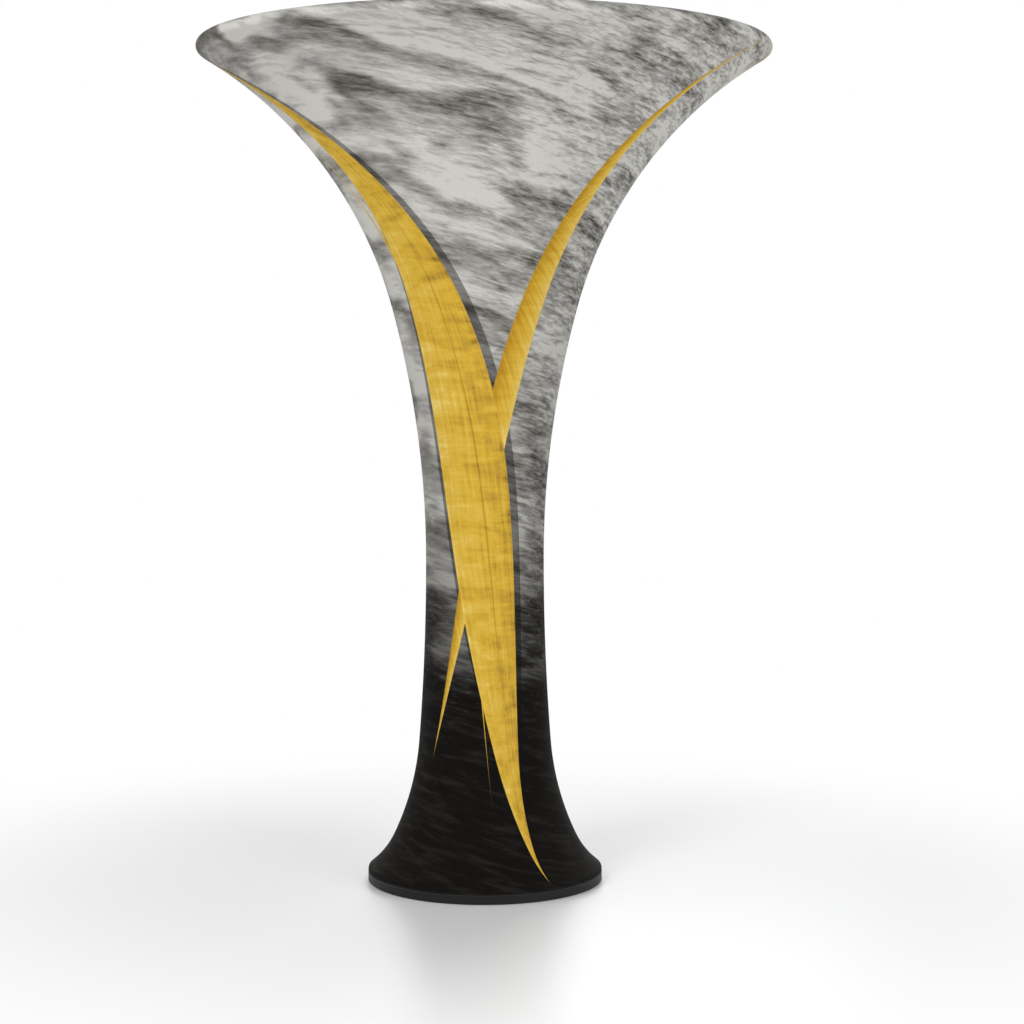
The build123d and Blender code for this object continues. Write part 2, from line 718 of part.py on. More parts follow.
for name, side in (("right", 1), ("left", -1)):
    low_across, high_across = sorted((side * tape_inner, side * tape_outer))
    with BuildPart() as zip_tape:
        back_strip(low_across, high_across, tape_clearance, cover_thickness - tape_clearance,
                   zip_low_slope, zip_high_slope)
    save(zip_tape, f"zip_tape_{name}")
    low_across, high_across = sorted((side * coil_inner, side * coil_outer))
    with BuildPart() as zip_coil:
        back_strip(low_across, high_across, -coil_stand, cover_thickness + coil_stand,
                   zip_low_slope, zip_high_slope)
    save(zip_coil, f"zip_coil_{name}")

# Slider: a plate on each side of the coil, joined by a thin post between the two rows
slider_seat = station(back, slider_rest_slope, 0)
pin_plane = Plane(slider_seat.origin, x_dir=slider_seat.y_dir, z_dir=slider_seat.x_dir)
plate_out = coil_stand + slider_gap
plate_in = cover_thickness + coil_stand + slider_gap
lug_foot = plate_out + slider_plate / 2
pin_stand = plate_out + slider_plate + pull_pin_height
lug_inner = pull_width / 2 + lug_gap
with BuildPart() as zip_slider:
    for plate_from in (plate_out, -plate_in - slider_plate):
        with BuildSketch(slider_seat.offset(plate_from)):
            RectangleRounded(slider_width, slider_length, slider_width / 3)
        extrude(amount=slider_plate)
    with BuildSketch(slider_seat.offset(-plate_in)):
        with Locations((0, slider_length / 2 - slider_post_length)):
            Rectangle(slider_post, slider_post_length)
    extrude(amount=plate_in + plate_out)
    for lug_from in (lug_inner, -lug_inner - lug_thickness):
        with BuildSketch(pin_plane.offset(lug_from)):
            with Locations((0, pin_stand)):
                Circle(pull_eye_radius)
            with Locations((0, lug_foot)):
                Rectangle(2 * pull_eye_radius, pin_stand - lug_foot,
                          align=(Align.CENTER, Align.MIN))
        extrude(amount=lug_thickness)
    with BuildSketch(pin_plane.offset(-lug_inner - lug_thickness / 2)):
        with Locations((0, pin_stand)):
            Circle(pull_pin_radius)
    extrude(amount=2 * lug_inner + lug_thickness)
save(zip_slider, "zip_slider")

# Pull: an eye on the slider's pin and a flat tab that lies down the slope
with BuildPart() as zip_pull:
    with BuildSketch(pin_plane.offset(-pull_width / 2)):
        with Locations((0, pin_stand)):
            Circle(pull_eye_radius)
            Rectangle(pull_length, pull_thickness, align=(Align.MAX, Align.CENTER))
            Circle(pull_pin_radius + pull_pin_clearance, mode=Mode.SUBTRACT)
    extrude(amount=pull_width)
save(zip_pull, "zip_pull")
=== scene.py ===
"""Dress the display tower: printed stretch cover, tube frame, platform, zip and studio."""
import logging
import math
from dataclasses import dataclass, field
from enum import Enum
from typing import Any, Callable, Sequence, Union

import bpy
import numpy as np
from mathutils import Matrix, Vector


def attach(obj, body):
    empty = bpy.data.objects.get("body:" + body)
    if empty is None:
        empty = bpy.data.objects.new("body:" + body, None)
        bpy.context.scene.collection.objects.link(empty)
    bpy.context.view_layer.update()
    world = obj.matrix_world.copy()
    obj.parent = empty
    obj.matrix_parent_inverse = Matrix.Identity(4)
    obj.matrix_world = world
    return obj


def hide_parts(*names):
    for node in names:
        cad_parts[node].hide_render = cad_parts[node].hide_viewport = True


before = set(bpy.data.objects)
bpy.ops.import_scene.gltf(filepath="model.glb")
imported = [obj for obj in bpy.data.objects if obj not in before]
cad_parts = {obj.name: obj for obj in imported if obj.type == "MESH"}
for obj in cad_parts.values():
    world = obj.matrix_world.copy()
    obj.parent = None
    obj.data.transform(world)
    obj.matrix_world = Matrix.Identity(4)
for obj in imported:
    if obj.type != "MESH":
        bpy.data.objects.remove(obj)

log = logging.getLogger("display_tower")

Colour = tuple[float, float, float]
Value = Union["Signal", float]


def linear(red: int, green: int, blue: int) -> Colour:
    """Return a display colour of 0 to 255 as a linear colour."""
    channels = []
    for level in (red, green, blue):
        share = level / 255.0
        channels.append(share / 12.92 if share <= 0.04045 else ((share + 0.055) / 1.055) ** 2.4)
    return (channels[0], channels[1], channels[2])


# --------------------------------------------------------------------------- shader maths


class Signal:
    """A shader socket that takes part in Python arithmetic."""

    def __init__(self, tree: "FinishTree", socket: bpy.types.NodeSocket) -> None:
        """Keep the socket and the tree that it belongs to.

        Args:
            tree: The finish's node tree.
            socket: An output socket in that tree.
        """
        self.tree = tree
        self.socket = socket

    def _math(self, operation: str, first: Value, second: Value = 0.0) -> "Signal":
        """Return one Math node on two values.

        Args:
            operation: The Math node's operation.
            first: The first value.
            second: The second value.

        Returns:
            The node's result.
        """
        made = self.tree.node("ShaderNodeMath", {"operation": operation}, {0: first, 1: second})
        return Signal(self.tree, made.outputs[0])

    def __add__(self, other: Value) -> "Signal":
        """Return the sum."""
        return self._math("ADD", self, other)

    __radd__ = __add__

    def __sub__(self, other: Value) -> "Signal":
        """Return the difference."""
        return self._math("SUBTRACT", self, other)

    def __rsub__(self, other: Value) -> "Signal":
        """Return the difference from a number."""
        return self._math("SUBTRACT", other, self)

    def __mul__(self, other: Value) -> "Signal":
        """Return the product."""
        return self._math("MULTIPLY", self, other)

    __rmul__ = __mul__

    def __truediv__(self, other: Value) -> "Signal":
        """Return the quotient."""
        return self._math("DIVIDE", self, other)

    def __mod__(self, other: Value) -> "Signal":
        """Return the floored remainder."""
        return self._math("FLOORED_MODULO", self, other)

    def __pow__(self, other: Value) -> "Signal":
        """Return the power."""
        return self._math("POWER", self, other)

    def __abs__(self) -> "Signal":
        """Return the size without its sign."""
        return self._math("ABSOLUTE", self)

    def sine(self) -> "Signal":
        """Return the sine."""
        return self._math("SINE", self)

    def cosine(self) -> "Signal":
        """Return the cosine."""
        return self._math("COSINE", self)

    def at_least(self, other: Value) -> "Signal":
        """Return the larger of the two."""
        return self._math("MAXIMUM", self, other)

    def at_most(self, other: Value) -> "Signal":
        """Return the smaller of the two."""
        return self._math("MINIMUM", self, other)

    def ramp(self, low: Value, high: Value) -> "Signal":
        """Return a smooth step from 0 at low to 1 at high."""
        made = self.tree.node(
            "ShaderNodeMapRange",
            {"interpolation_type": "SMOOTHSTEP"},
            {"Value": self, "From Min": low, "From Max": high},
        )
        return Signal(self.tree, made.outputs["Result"])


class FinishTree:
    """The node tree of one material, built from its finish, or that of the room."""

    def __init__(self, name: str, room: Union[bpy.types.World, None] = None) -> None:
        """Start an empty material, or empty the room's nodes.

        Args:
            name: The material's name.
            room: The world, where the tree is the room's.
        """
        self.owner = room or bpy.data.materials.new(name)
        self.owner.use_nodes = True
        self.nodes = self.owner.node_tree.nodes
        self.links = self.owner.node_tree.links
        self.nodes.clear()

    def node(self, kind: str, settings: dict[str, Any], inputs: dict[Any, Any]) -> bpy.types.Node:
        """Add a node, set it up, then feed its sockets.

        Args:
            kind: The node's type.
            settings: Attributes of the node; stops are a colour ramp's positions and colours.
            inputs: Values or signals by socket name or number.

        Returns:
            The node.
        """
        made = self.nodes.new(kind)
        for key, value in settings.items():
            if key == "stops":
                band = made.color_ramp
                while len(band.elements) < len(value):
                    band.elements.new(1.0)
                for element, (place, colour) in zip(band.elements, value):
                    element.position = place
                    element.color = (*colour, 1.0)
            else:
                setattr(made, key, value)
        for key, value in inputs.items():
            if isinstance(value, Signal):
                self.links.new(value.socket, made.inputs[key])
            elif isinstance(value, bpy.types.NodeSocket):
                self.links.new(value, made.inputs[key])
            elif isinstance(value, tuple) and made.inputs[key].type == "RGBA":
                made.inputs[key].default_value = (*value, 1.0)
            else:
                made.inputs[key].default_value = value
        return made

    def place(self) -> Signal:
        """Return the place on the object, in metres."""
        return Signal(self, self.node("ShaderNodeTexCoord", {}, {}).outputs["Object"])

    def print_map(self) -> tuple[Signal, Signal]:
        """Return the share of the way round and the run up the cloth in metres."""
        layer = self.node("ShaderNodeUVMap", {"uv_map": PRINT_MAP}, {})
        split = self.node("ShaderNodeSeparateXYZ", {}, {0: layer.outputs["UV"]})
        return Signal(self, split.outputs[0]), Signal(self, split.outputs[1]) * MAP_RUN

    def parts(self, vector: Signal) -> tuple[Signal, Signal, Signal]:
        """Return the three parts of a vector."""
        split = self.node("ShaderNodeSeparateXYZ", {}, {0: vector})
        return (Signal(self, split.outputs[0]), Signal(self, split.outputs[1]),
                Signal(self, split.outputs[2]))

    def vector(self, across: Value, along: Value, up: Value) -> Signal:
        """Return a vector made of three values."""
        made = self.node("ShaderNodeCombineXYZ", {}, {0: across, 1: along, 2: up})
        return Signal(self, made.outputs[0])

    def stretch(self, vector: Signal, scale: Sequence[float]) -> Signal:
        """Return a vector scaled along its axes."""
        made = self.node("ShaderNodeVectorMath", {"operation": "MULTIPLY"},
                         {0: vector, 1: tuple(scale)})
        return Signal(self, made.outputs[0])

    def noise(self, vector: Signal, scale: float, detail: float = 2.0, rough: float = 0.5,
              swirl: float = 0.0) -> Signal:
        """Return a soft random pattern.

        Args:
            vector: The place to read.
            scale: The patches per metre.
            detail: The number of finer layers.
            rough: The weight of the finer layers.
            swirl: How far the pattern is bent by itself.

        Returns:
            A value round a half.
        """
        made = self.node("ShaderNodeTexNoise", {}, {
            "Vector": vector, "Scale": scale, "Detail": detail, "Roughness": rough,
            "Distortion": swirl,
        })
        return Signal(self, made.outputs["Fac"])

    def cells(self, vector: Signal, scale: float) -> Signal:
        """Return the distance to the nearest of many scattered grains."""
        made = self.node("ShaderNodeTexVoronoi", {}, {"Vector": vector, "Scale": scale})
        return Signal(self, made.outputs["Distance"])

    def blend(self, share: Value, first: Any, second: Any) -> Signal:
        """Return a mix of two colours.

        Args:
            share: 0 for the first and 1 for the second.
            first: A colour or a signal.
            second: A colour or a signal.

        Returns:
            The mixed colour.
        """
        made = self.node("ShaderNodeMix", {"data_type": "RGBA"}, {0: share, 6: first, 7: second})
        return Signal(self, made.outputs[2])

    def band(self, share: Signal, stops: Sequence[tuple[float, Colour]]) -> Signal:
        """Return a colour from a graded band."""
        made = self.node("ShaderNodeValToRGB", {"stops": stops}, {0: share})
        return Signal(self, made.outputs[0])

    def relief(self, height: Signal, strength: float, depth: float) -> Signal:
        """Return the normal of a surface with a fine relief."""
        made = self.node("ShaderNodeBump", {}, {
            "Height": height, "Strength": strength, "Distance": depth,
        })
        return Signal(self, made.outputs[0])

    def close(self, **sockets: Any) -> bpy.types.Material:
        """Finish the material with a Principled surface.

        Args:
            sockets: The shader's inputs, with underscores for spaces.

        Returns:
            The material.
        """
        feeds = {key.replace("_", " "): value for key, value in sockets.items()}
        surface = self.node("ShaderNodeBsdfPrincipled", {}, feeds)
        self.node("ShaderNodeOutputMaterial", {}, {"Surface": surface.outputs[0]})
        return self.owner


# --------------------------------------------------------------------------- finishes

PRINT_MAP = "print"
MAP_RUN = 4.5
TURN = 2.0 * math.pi
WALES_ROUND = 2400.0
COURSE_RISE = 0.0016
BLACK: Colour = (0.0, 0.0, 0.0)
WHITE: Colour = (1.0, 1.0, 1.0)


def knit_relief(share: Signal, run: Signal) -> Signal:
    """Return the height of the knit's wales and courses."""
    return (share * (TURN * WALES_ROUND)).sine() + (run * (TURN / COURSE_RISE)).sine()


@dataclass(frozen=True)
class PrintedKnit:
    """Stretch knit with a dyed print: silky greys over a dark foot, with ochre ribbons."""

    ochre: Colour = linear(208, 168, 56)
    ochre_light: Colour = linear(228, 199, 110)
    ochre_deep: Colour = linear(176, 132, 34)
    silver: Colour = linear(206, 204, 197)
    stone: Colour = linear(150, 147, 141)
    slate: Colour = linear(82, 79, 74)
    char: Colour = linear(13, 11, 9)
    umber: Colour = linear(120, 88, 22)

    def ribbon(self, tree: FinishTree, turn: Signal, run: Signal, radius: Signal,
               route: tuple[float, float, float, float], span: tuple[float, float, float],
               copies: int) -> tuple[Signal, Signal]:
        """Return the mask of a ribbon and the place across it.

        Args:
            tree: The node tree; not used.
            turn: The angle round the tower.
            run: The run up the cloth.
            radius: The radius there.
            route: The ribbon's angle as a cubic of the run.
            span: The run where it starts, the run where it ends, and its half width.
            copies: How many stand round the tower.

        Returns:
            The mask, and the place across from -1 to 1.
        """
        start, end, half = span
        line = ((run * route[3] + route[2]) * run + route[1]) * run + route[0]
        share = TURN / copies
        off = ((turn - line + share / 2) % share - share / 2) * radius
        along = ((run - start) / (end - start)).at_least(0.0).at_most(1.0)
        width = (along * math.pi).sine() ** 1.25 * half + 0.0001
        across = off / width
        inside = (width - abs(off)).ramp(0.0, 0.0025)
        return inside, across

    def silk(self, tree: FinishTree, place: Signal, turn: Signal, run: Signal) -> Signal:
        """Return the soft folds that lean as they go round, over a dark foot.

        Args:
            tree: The node tree.
            place: The place on the object.
            turn: The angle round the tower.
            run: The run up the cloth.

        Returns:
            The ground's colour.
        """
        x, y, _ = tree.parts(place)
        climb = run * 3.0 + x * 0.85 + y * 0.25
        folds = tree.noise(tree.vector(x * 1.1, y * 1.1, climb * 0.8), 1.5, 2.0, 0.45, 0.6)
        drape = (climb * 7.5 + folds * 17.0).sine() * 0.5 + 0.5
        strands = tree.noise(tree.vector(x * 2.2, y * 2.2, climb * 4.2), 2.6, 4.0, 0.6, 0.5)
        grain = tree.noise(tree.vector(x * 6.5, y * 6.5, climb * 8.0), 3.4, 3.0, 0.6, 0.2)
        side = (turn * 0.8).ramp(-1.1, 1.0)
        soft_folds = drape * (0.55 - side * 0.32) + (folds - 0.5) * 1.1
        fine_folds = (strands - 0.5) * (1.0 + side * 0.7) + (grain - 0.5) * (0.30 + side * 1.0)
        lift = run.ramp(0.7, 3.6)
        tone = soft_folds + fine_folds + 0.36 + side * 0.14 + lift * 0.12
        silk = tree.band(tone, [(0.08, linear(66, 63, 58)), (0.34, linear(116, 113, 107)),
                                (0.62, linear(160, 158, 153)), (0.98, self.silver)])
        upper = tree.blend((1.0 - lift) * 0.42, silk, self.slate)
        fall = (run + (folds - 0.5) * 1.3 + (strands - 0.5) * 0.5).ramp(0.85, 1.9)
        glow = (strands * 2.4 - 1.15).at_least(0.0).at_most(1.0) * 0.55
        spark = (grain * 4.0 - 2.35).at_least(0.0).at_most(1.0)
        dark = tree.blend(glow * 0.5, self.char, self.slate)
        dark = tree.blend(spark * run.ramp(0.5, 1.7) * 0.7, dark, self.stone)
        return tree.blend(fall, dark, upper)

    def lay_ribbons(self, tree: FinishTree, ground: Signal, turn: Signal, run: Signal,
                    radius: Signal) -> Signal:
        """Return the ground with its ribbons: broad ones, slender ones and hairlines.

        Args:
            tree: The node tree.
            ground: The ground's colour.
            turn: The angle round the tower.
            run: The run up the cloth.
            radius: The radius there.

        Returns:
            The print's colour.
        """
        broad, across = self.ribbon(tree, turn, run, radius, (0.62, -0.50, 0.08, -0.026),
                                    (0.02, 4.02, 0.150), 2)
        slender, thin_across = self.ribbon(tree, turn, run, radius, (-1.30, 0.75, 0.02, -0.012),
                                           (0.55, 4.05, 0.058), 2)
        hair, _ = self.ribbon(tree, turn, run, radius, (0.22, -0.28, -0.02, -0.012),
                              (0.30, 4.00, 0.010), 2)
        shade_line, _ = self.ribbon(tree, turn, run, radius, (0.655, -0.50, 0.08, -0.026),
                                    (0.02, 4.02, 0.178), 2)
        brush = tree.noise(tree.vector(across * 3.0, run * 1.3, 0.0), 3.0, 4.0, 0.6, 0.4)
        streak = tree.noise(tree.vector(across * 0.8, run * 15.0, 0.0), 1.0, 3.0, 0.6, 0.5)
        lath = tree.noise(tree.vector(across * 0.5, run * 34.0, 0.0), 1.0, 4.0, 0.7, 0.3)
        leaf = (across * -0.5 + 0.5) * 0.34 + (brush - 0.5) * 0.95 + (streak - 0.5) * 1.25
        leaf = leaf + (lath - 0.5) * 0.55 + 0.36
        gold = tree.band(leaf, [(0.05, linear(140, 106, 34)), (0.28, linear(186, 148, 54)),
                                (0.52, self.ochre), (0.78, linear(216, 180, 76)),
                                (1.0, self.ochre_light)])
        spine = (0.5 - abs(across - 0.18) * 14.0).at_least(0.0).at_most(0.35)
        gold = tree.blend(spine, gold, self.umber)
        thin_leaf = thin_across * 0.30 + (brush - 0.5) * 0.9 + (lath - 0.5) * 0.5 + 0.46
        thin_gold = tree.band(thin_leaf, [(0.15, self.ochre_deep), (0.5, self.ochre),
                                          (0.9, self.ochre_light)])
        ink = tree.blend(shade_line * 0.62, ground, self.char)
        ink = tree.blend(slender, ink, thin_gold)
        ink = tree.blend(hair * 0.9, ink, self.ochre)
        return tree.blend(broad, ink, gold)

    def material(self) -> bpy.types.Material:
        """Return the finished material."""
        tree = FinishTree("printed_knit")
        share, run = tree.print_map()
        place = tree.place()
        x, y, z = tree.parts(place)
        radius = (x * x + y * y) ** 0.5
        turn = (share - 0.5) * TURN
        ground = self.silk(tree, place, turn, run)
        ink = self.lay_ribbons(tree, ground, turn, run, radius)
        mottle = tree.noise(place, 60.0, 3.0, 0.6)
        ink = tree.blend((mottle - 0.35) * 0.10, ink, BLACK)
        slack = tree.noise(tree.vector(x * 3.0, y * 3.0, z * 0.8), 2.0, 2.0, 0.5)
        fine = tree.relief(knit_relief(share, run), 0.18, 0.00012)
        soft = tree.node("ShaderNodeBump", {}, {"Height": slack, "Strength": 0.16,
                                                "Distance": 0.010, "Normal": fine})
        return tree.close(
            Base_Color=ink, Roughness=0.70 + mottle * 0.12, Normal=Signal(tree, soft.outputs[0]),
            Sheen_Weight=0.01, Sheen_Roughness=0.4, Specular_IOR_Level=0.06,
        )


@dataclass(frozen=True)
class KnitBack:
    """The unprinted inner face of the knit, where the print shows through faintly."""

    cloth: Colour = linear(214, 213, 208)
    show: Colour = linear(120, 117, 110)

    def material(self) -> bpy.types.Material:
        """Return the finished material."""
        tree = FinishTree("knit_back")
        share, run = tree.print_map()
        place = tree.place()
        ghost = tree.noise(tree.stretch(place, (3.0, 3.0, 1.4)), 1.6, 3.0, 0.5, 1.2)
        low = 1.0 - run.ramp(0.9, 2.1)
        tint = ghost.ramp(0.35, 0.7) * 0.22 + low * 0.62
        cloth = tree.blend(tint, self.cloth, self.show)
        mottle = tree.noise(place, 320.0, 2.0, 0.6)
        return tree.close(
            Base_Color=tree.blend(mottle * 0.12, cloth, self.show), Roughness=0.82 + mottle * 0.1,
            Normal=tree.relief(knit_relief(share, run), 0.22, 0.00012), Sheen_Weight=0.15,
            Specular_IOR_Level=0.25,
        )


@dataclass(frozen=True)
class WovenTape:
    """Close-woven narrow cloth, such as zip tape, hem binding or hook strip."""

    name: str
    cloth: Colour
    worn: Colour
    pick: float = 0.0011

    def material(self) -> bpy.types.Material:
        """Return the finished material."""
        tree = FinishTree(self.name)
        place = tree.place()
        x, _, z = tree.parts(place)
        ribs = (z * (TURN / self.pick)).sine() * (x * (TURN / self.pick)).cosine()
        lint = tree.noise(place, 140.0, 3.0, 0.6)
        return tree.close(
            Base_Color=tree.blend((lint - 0.3) * 0.8, self.cloth, self.worn),
            Roughness=0.78 + lint * 0.14, Normal=tree.relief(ribs + lint, 0.35, 0.0002),
            Sheen_Weight=0.2, Specular_IOR_Level=0.3,
        )


@dataclass(frozen=True)
class PowderCoat:
    """Baked powder paint on steel, with its pebbled skin, dust and scattered rubbed scuffs."""

    name: str
    paint: Colour
    rubbed: Colour
    gloss: float = 0.42
    pebble: float = 900.0
    shine: float = 0.5

    def material(self) -> bpy.types.Material:
        """Return the finished material."""
        tree = FinishTree(self.name)
        place = tree.place()
        skin = tree.noise(place, self.pebble, 2.0, 0.5)
        dust = tree.noise(place, 9.0, 5.0, 0.62, 0.3)
        scuff = tree.noise(tree.stretch(place, (1.0, 1.0, 6.0)), 45.0, 4.0, 0.7).ramp(0.66, 0.78)
        paint = tree.blend(dust * 0.35 + scuff * 0.35, self.paint, self.rubbed)
        return tree.close(
            Base_Color=paint, Roughness=self.gloss + dust * 0.18 + scuff * 0.1,
            Normal=tree.relief(skin, 0.22, 0.0003), Specular_IOR_Level=self.shine,
        )


@dataclass(frozen=True)
class DrawnAluminium:
    """Anodised drawn tube with fine lines, handling marks and a satin skin."""

    name: str = "drawn_aluminium"
    metal: Colour = (0.74, 0.75, 0.76)
    mark: Colour = (0.52, 0.53, 0.55)
    gloss: float = 0.30

    def material(self) -> bpy.types.Material:
        """Return the finished material."""
        tree = FinishTree(self.name)
        place = tree.place()
        lines = tree.noise(tree.stretch(place, (9.0, 9.0, 0.5)), 90.0, 3.0, 0.6)
        hands = tree.noise(place, 7.0, 4.0, 0.6, 0.4).ramp(0.42, 0.72)
        nick = tree.noise(place, 130.0, 2.0, 0.7).ramp(0.70, 0.78)
        return tree.close(
            Base_Color=tree.blend(lines * 0.3 + nick * 0.5, self.metal, self.mark), Metallic=1.0,
            Roughness=self.gloss + hands * 0.14 + lines * 0.08,
            Normal=tree.relief(lines + nick, 0.10, 0.0002),
        )


@dataclass(frozen=True)
class Steel:
    """Zinc-plated or bright steel hardware."""

    name: str = "plated_steel"
    metal: Colour = (0.60, 0.60, 0.61)
    dull: Colour = (0.40, 0.40, 0.41)

    def material(self) -> bpy.types.Material:
        """Return the finished material."""
        tree = FinishTree(self.name)
        place = tree.place()
        bloom = tree.noise(place, 160.0, 4.0, 0.6, 0.4)
        turned = tree.noise(tree.stretch(place, (1.0, 1.0, 8.0)), 700.0, 2.0, 0.5)
        return tree.close(
            Base_Color=tree.blend(bloom, self.metal, self.dull), Metallic=1.0,
            Roughness=0.24 + bloom * 0.22, Normal=tree.relief(turned, 0.12, 0.0001),
        )


@dataclass(frozen=True)
class Moulded:
    """Moulded nylon, acetal or rubber with a spark-eroded grain."""

    name: str
    body: Colour
    rubbed: Colour
    gloss: float = 0.5
    grain: float = 1400.0

    def material(self) -> bpy.types.Material:
        """Return the finished material."""
        tree = FinishTree(self.name)
        place = tree.place()
        grain = tree.cells(place, self.grain)
        wear = tree.noise(place, 24.0, 4.0, 0.6, 0.3)
        return tree.close(
            Base_Color=tree.blend(wear * 0.5, self.body, self.rubbed),
            Roughness=self.gloss + wear * 0.18, Normal=tree.relief(grain, 0.25, 0.0002),
            Specular_IOR_Level=0.45,
        )


@dataclass(frozen=True)
class SewingThread:
    """Twisted polyester thread."""

    name: str
    thread: Colour
    light: Colour

    def material(self) -> bpy.types.Material:
        """Return the finished material."""
        tree = FinishTree(self.name)
        place = tree.place()
        ply = tree.noise(place, 2600.0, 2.0, 0.6)
        return tree.close(
            Base_Color=tree.blend(ply, self.thread, self.light), Roughness=0.55 + ply * 0.2,
            Normal=tree.relief(ply, 0.3, 0.0002), Sheen_Weight=0.2,
        )


@dataclass(frozen=True)
class StudioFloor:
    """Plain pale floor that fades to white for the camera and keeps its shadow."""

    pale: Colour = (0.86, 0.86, 0.86)
    plain_from: float = 0.9
    plain_to: float = 3.4

    def material(self) -> bpy.types.Material:
        """Return the finished material."""
        tree = FinishTree("studio_floor")
        place = tree.place()
        x, y, _ = tree.parts(place)
        dust = tree.noise(place, 0.8, 3.0, 0.5)
        near = tree.node("ShaderNodeBsdfPrincipled", {}, {
            "Base Color": tree.blend(dust * 0.06, self.pale, (0.8, 0.8, 0.8)),
            "Roughness": 0.3 + dust * 0.1, "Specular IOR Level": 0.35,
        })
        white = tree.node("ShaderNodeEmission", {}, {"Color": WHITE, "Strength": 1.0})
        seen = Signal(tree, tree.node("ShaderNodeLightPath", {}, {}).outputs["Is Camera Ray"])
        far = ((x * x + y * y) ** 0.5).ramp(self.plain_from, self.plain_to) * seen
        both = tree.node("ShaderNodeMixShader", {}, {0: far, 1: near.outputs[0],
                                                     2: white.outputs[0]})
        tree.node("ShaderNodeOutputMaterial", {}, {"Surface": both.outputs[0]})
        return tree.owner


# --------------------------------------------------------------------------- bench


class Axis(Enum):
    """The level axes of the tower, which the panels are cut along."""

    ACROSS = (1.0, 0.0, 0.0)
    DEEP = (0.0, 1.0, 0.0)


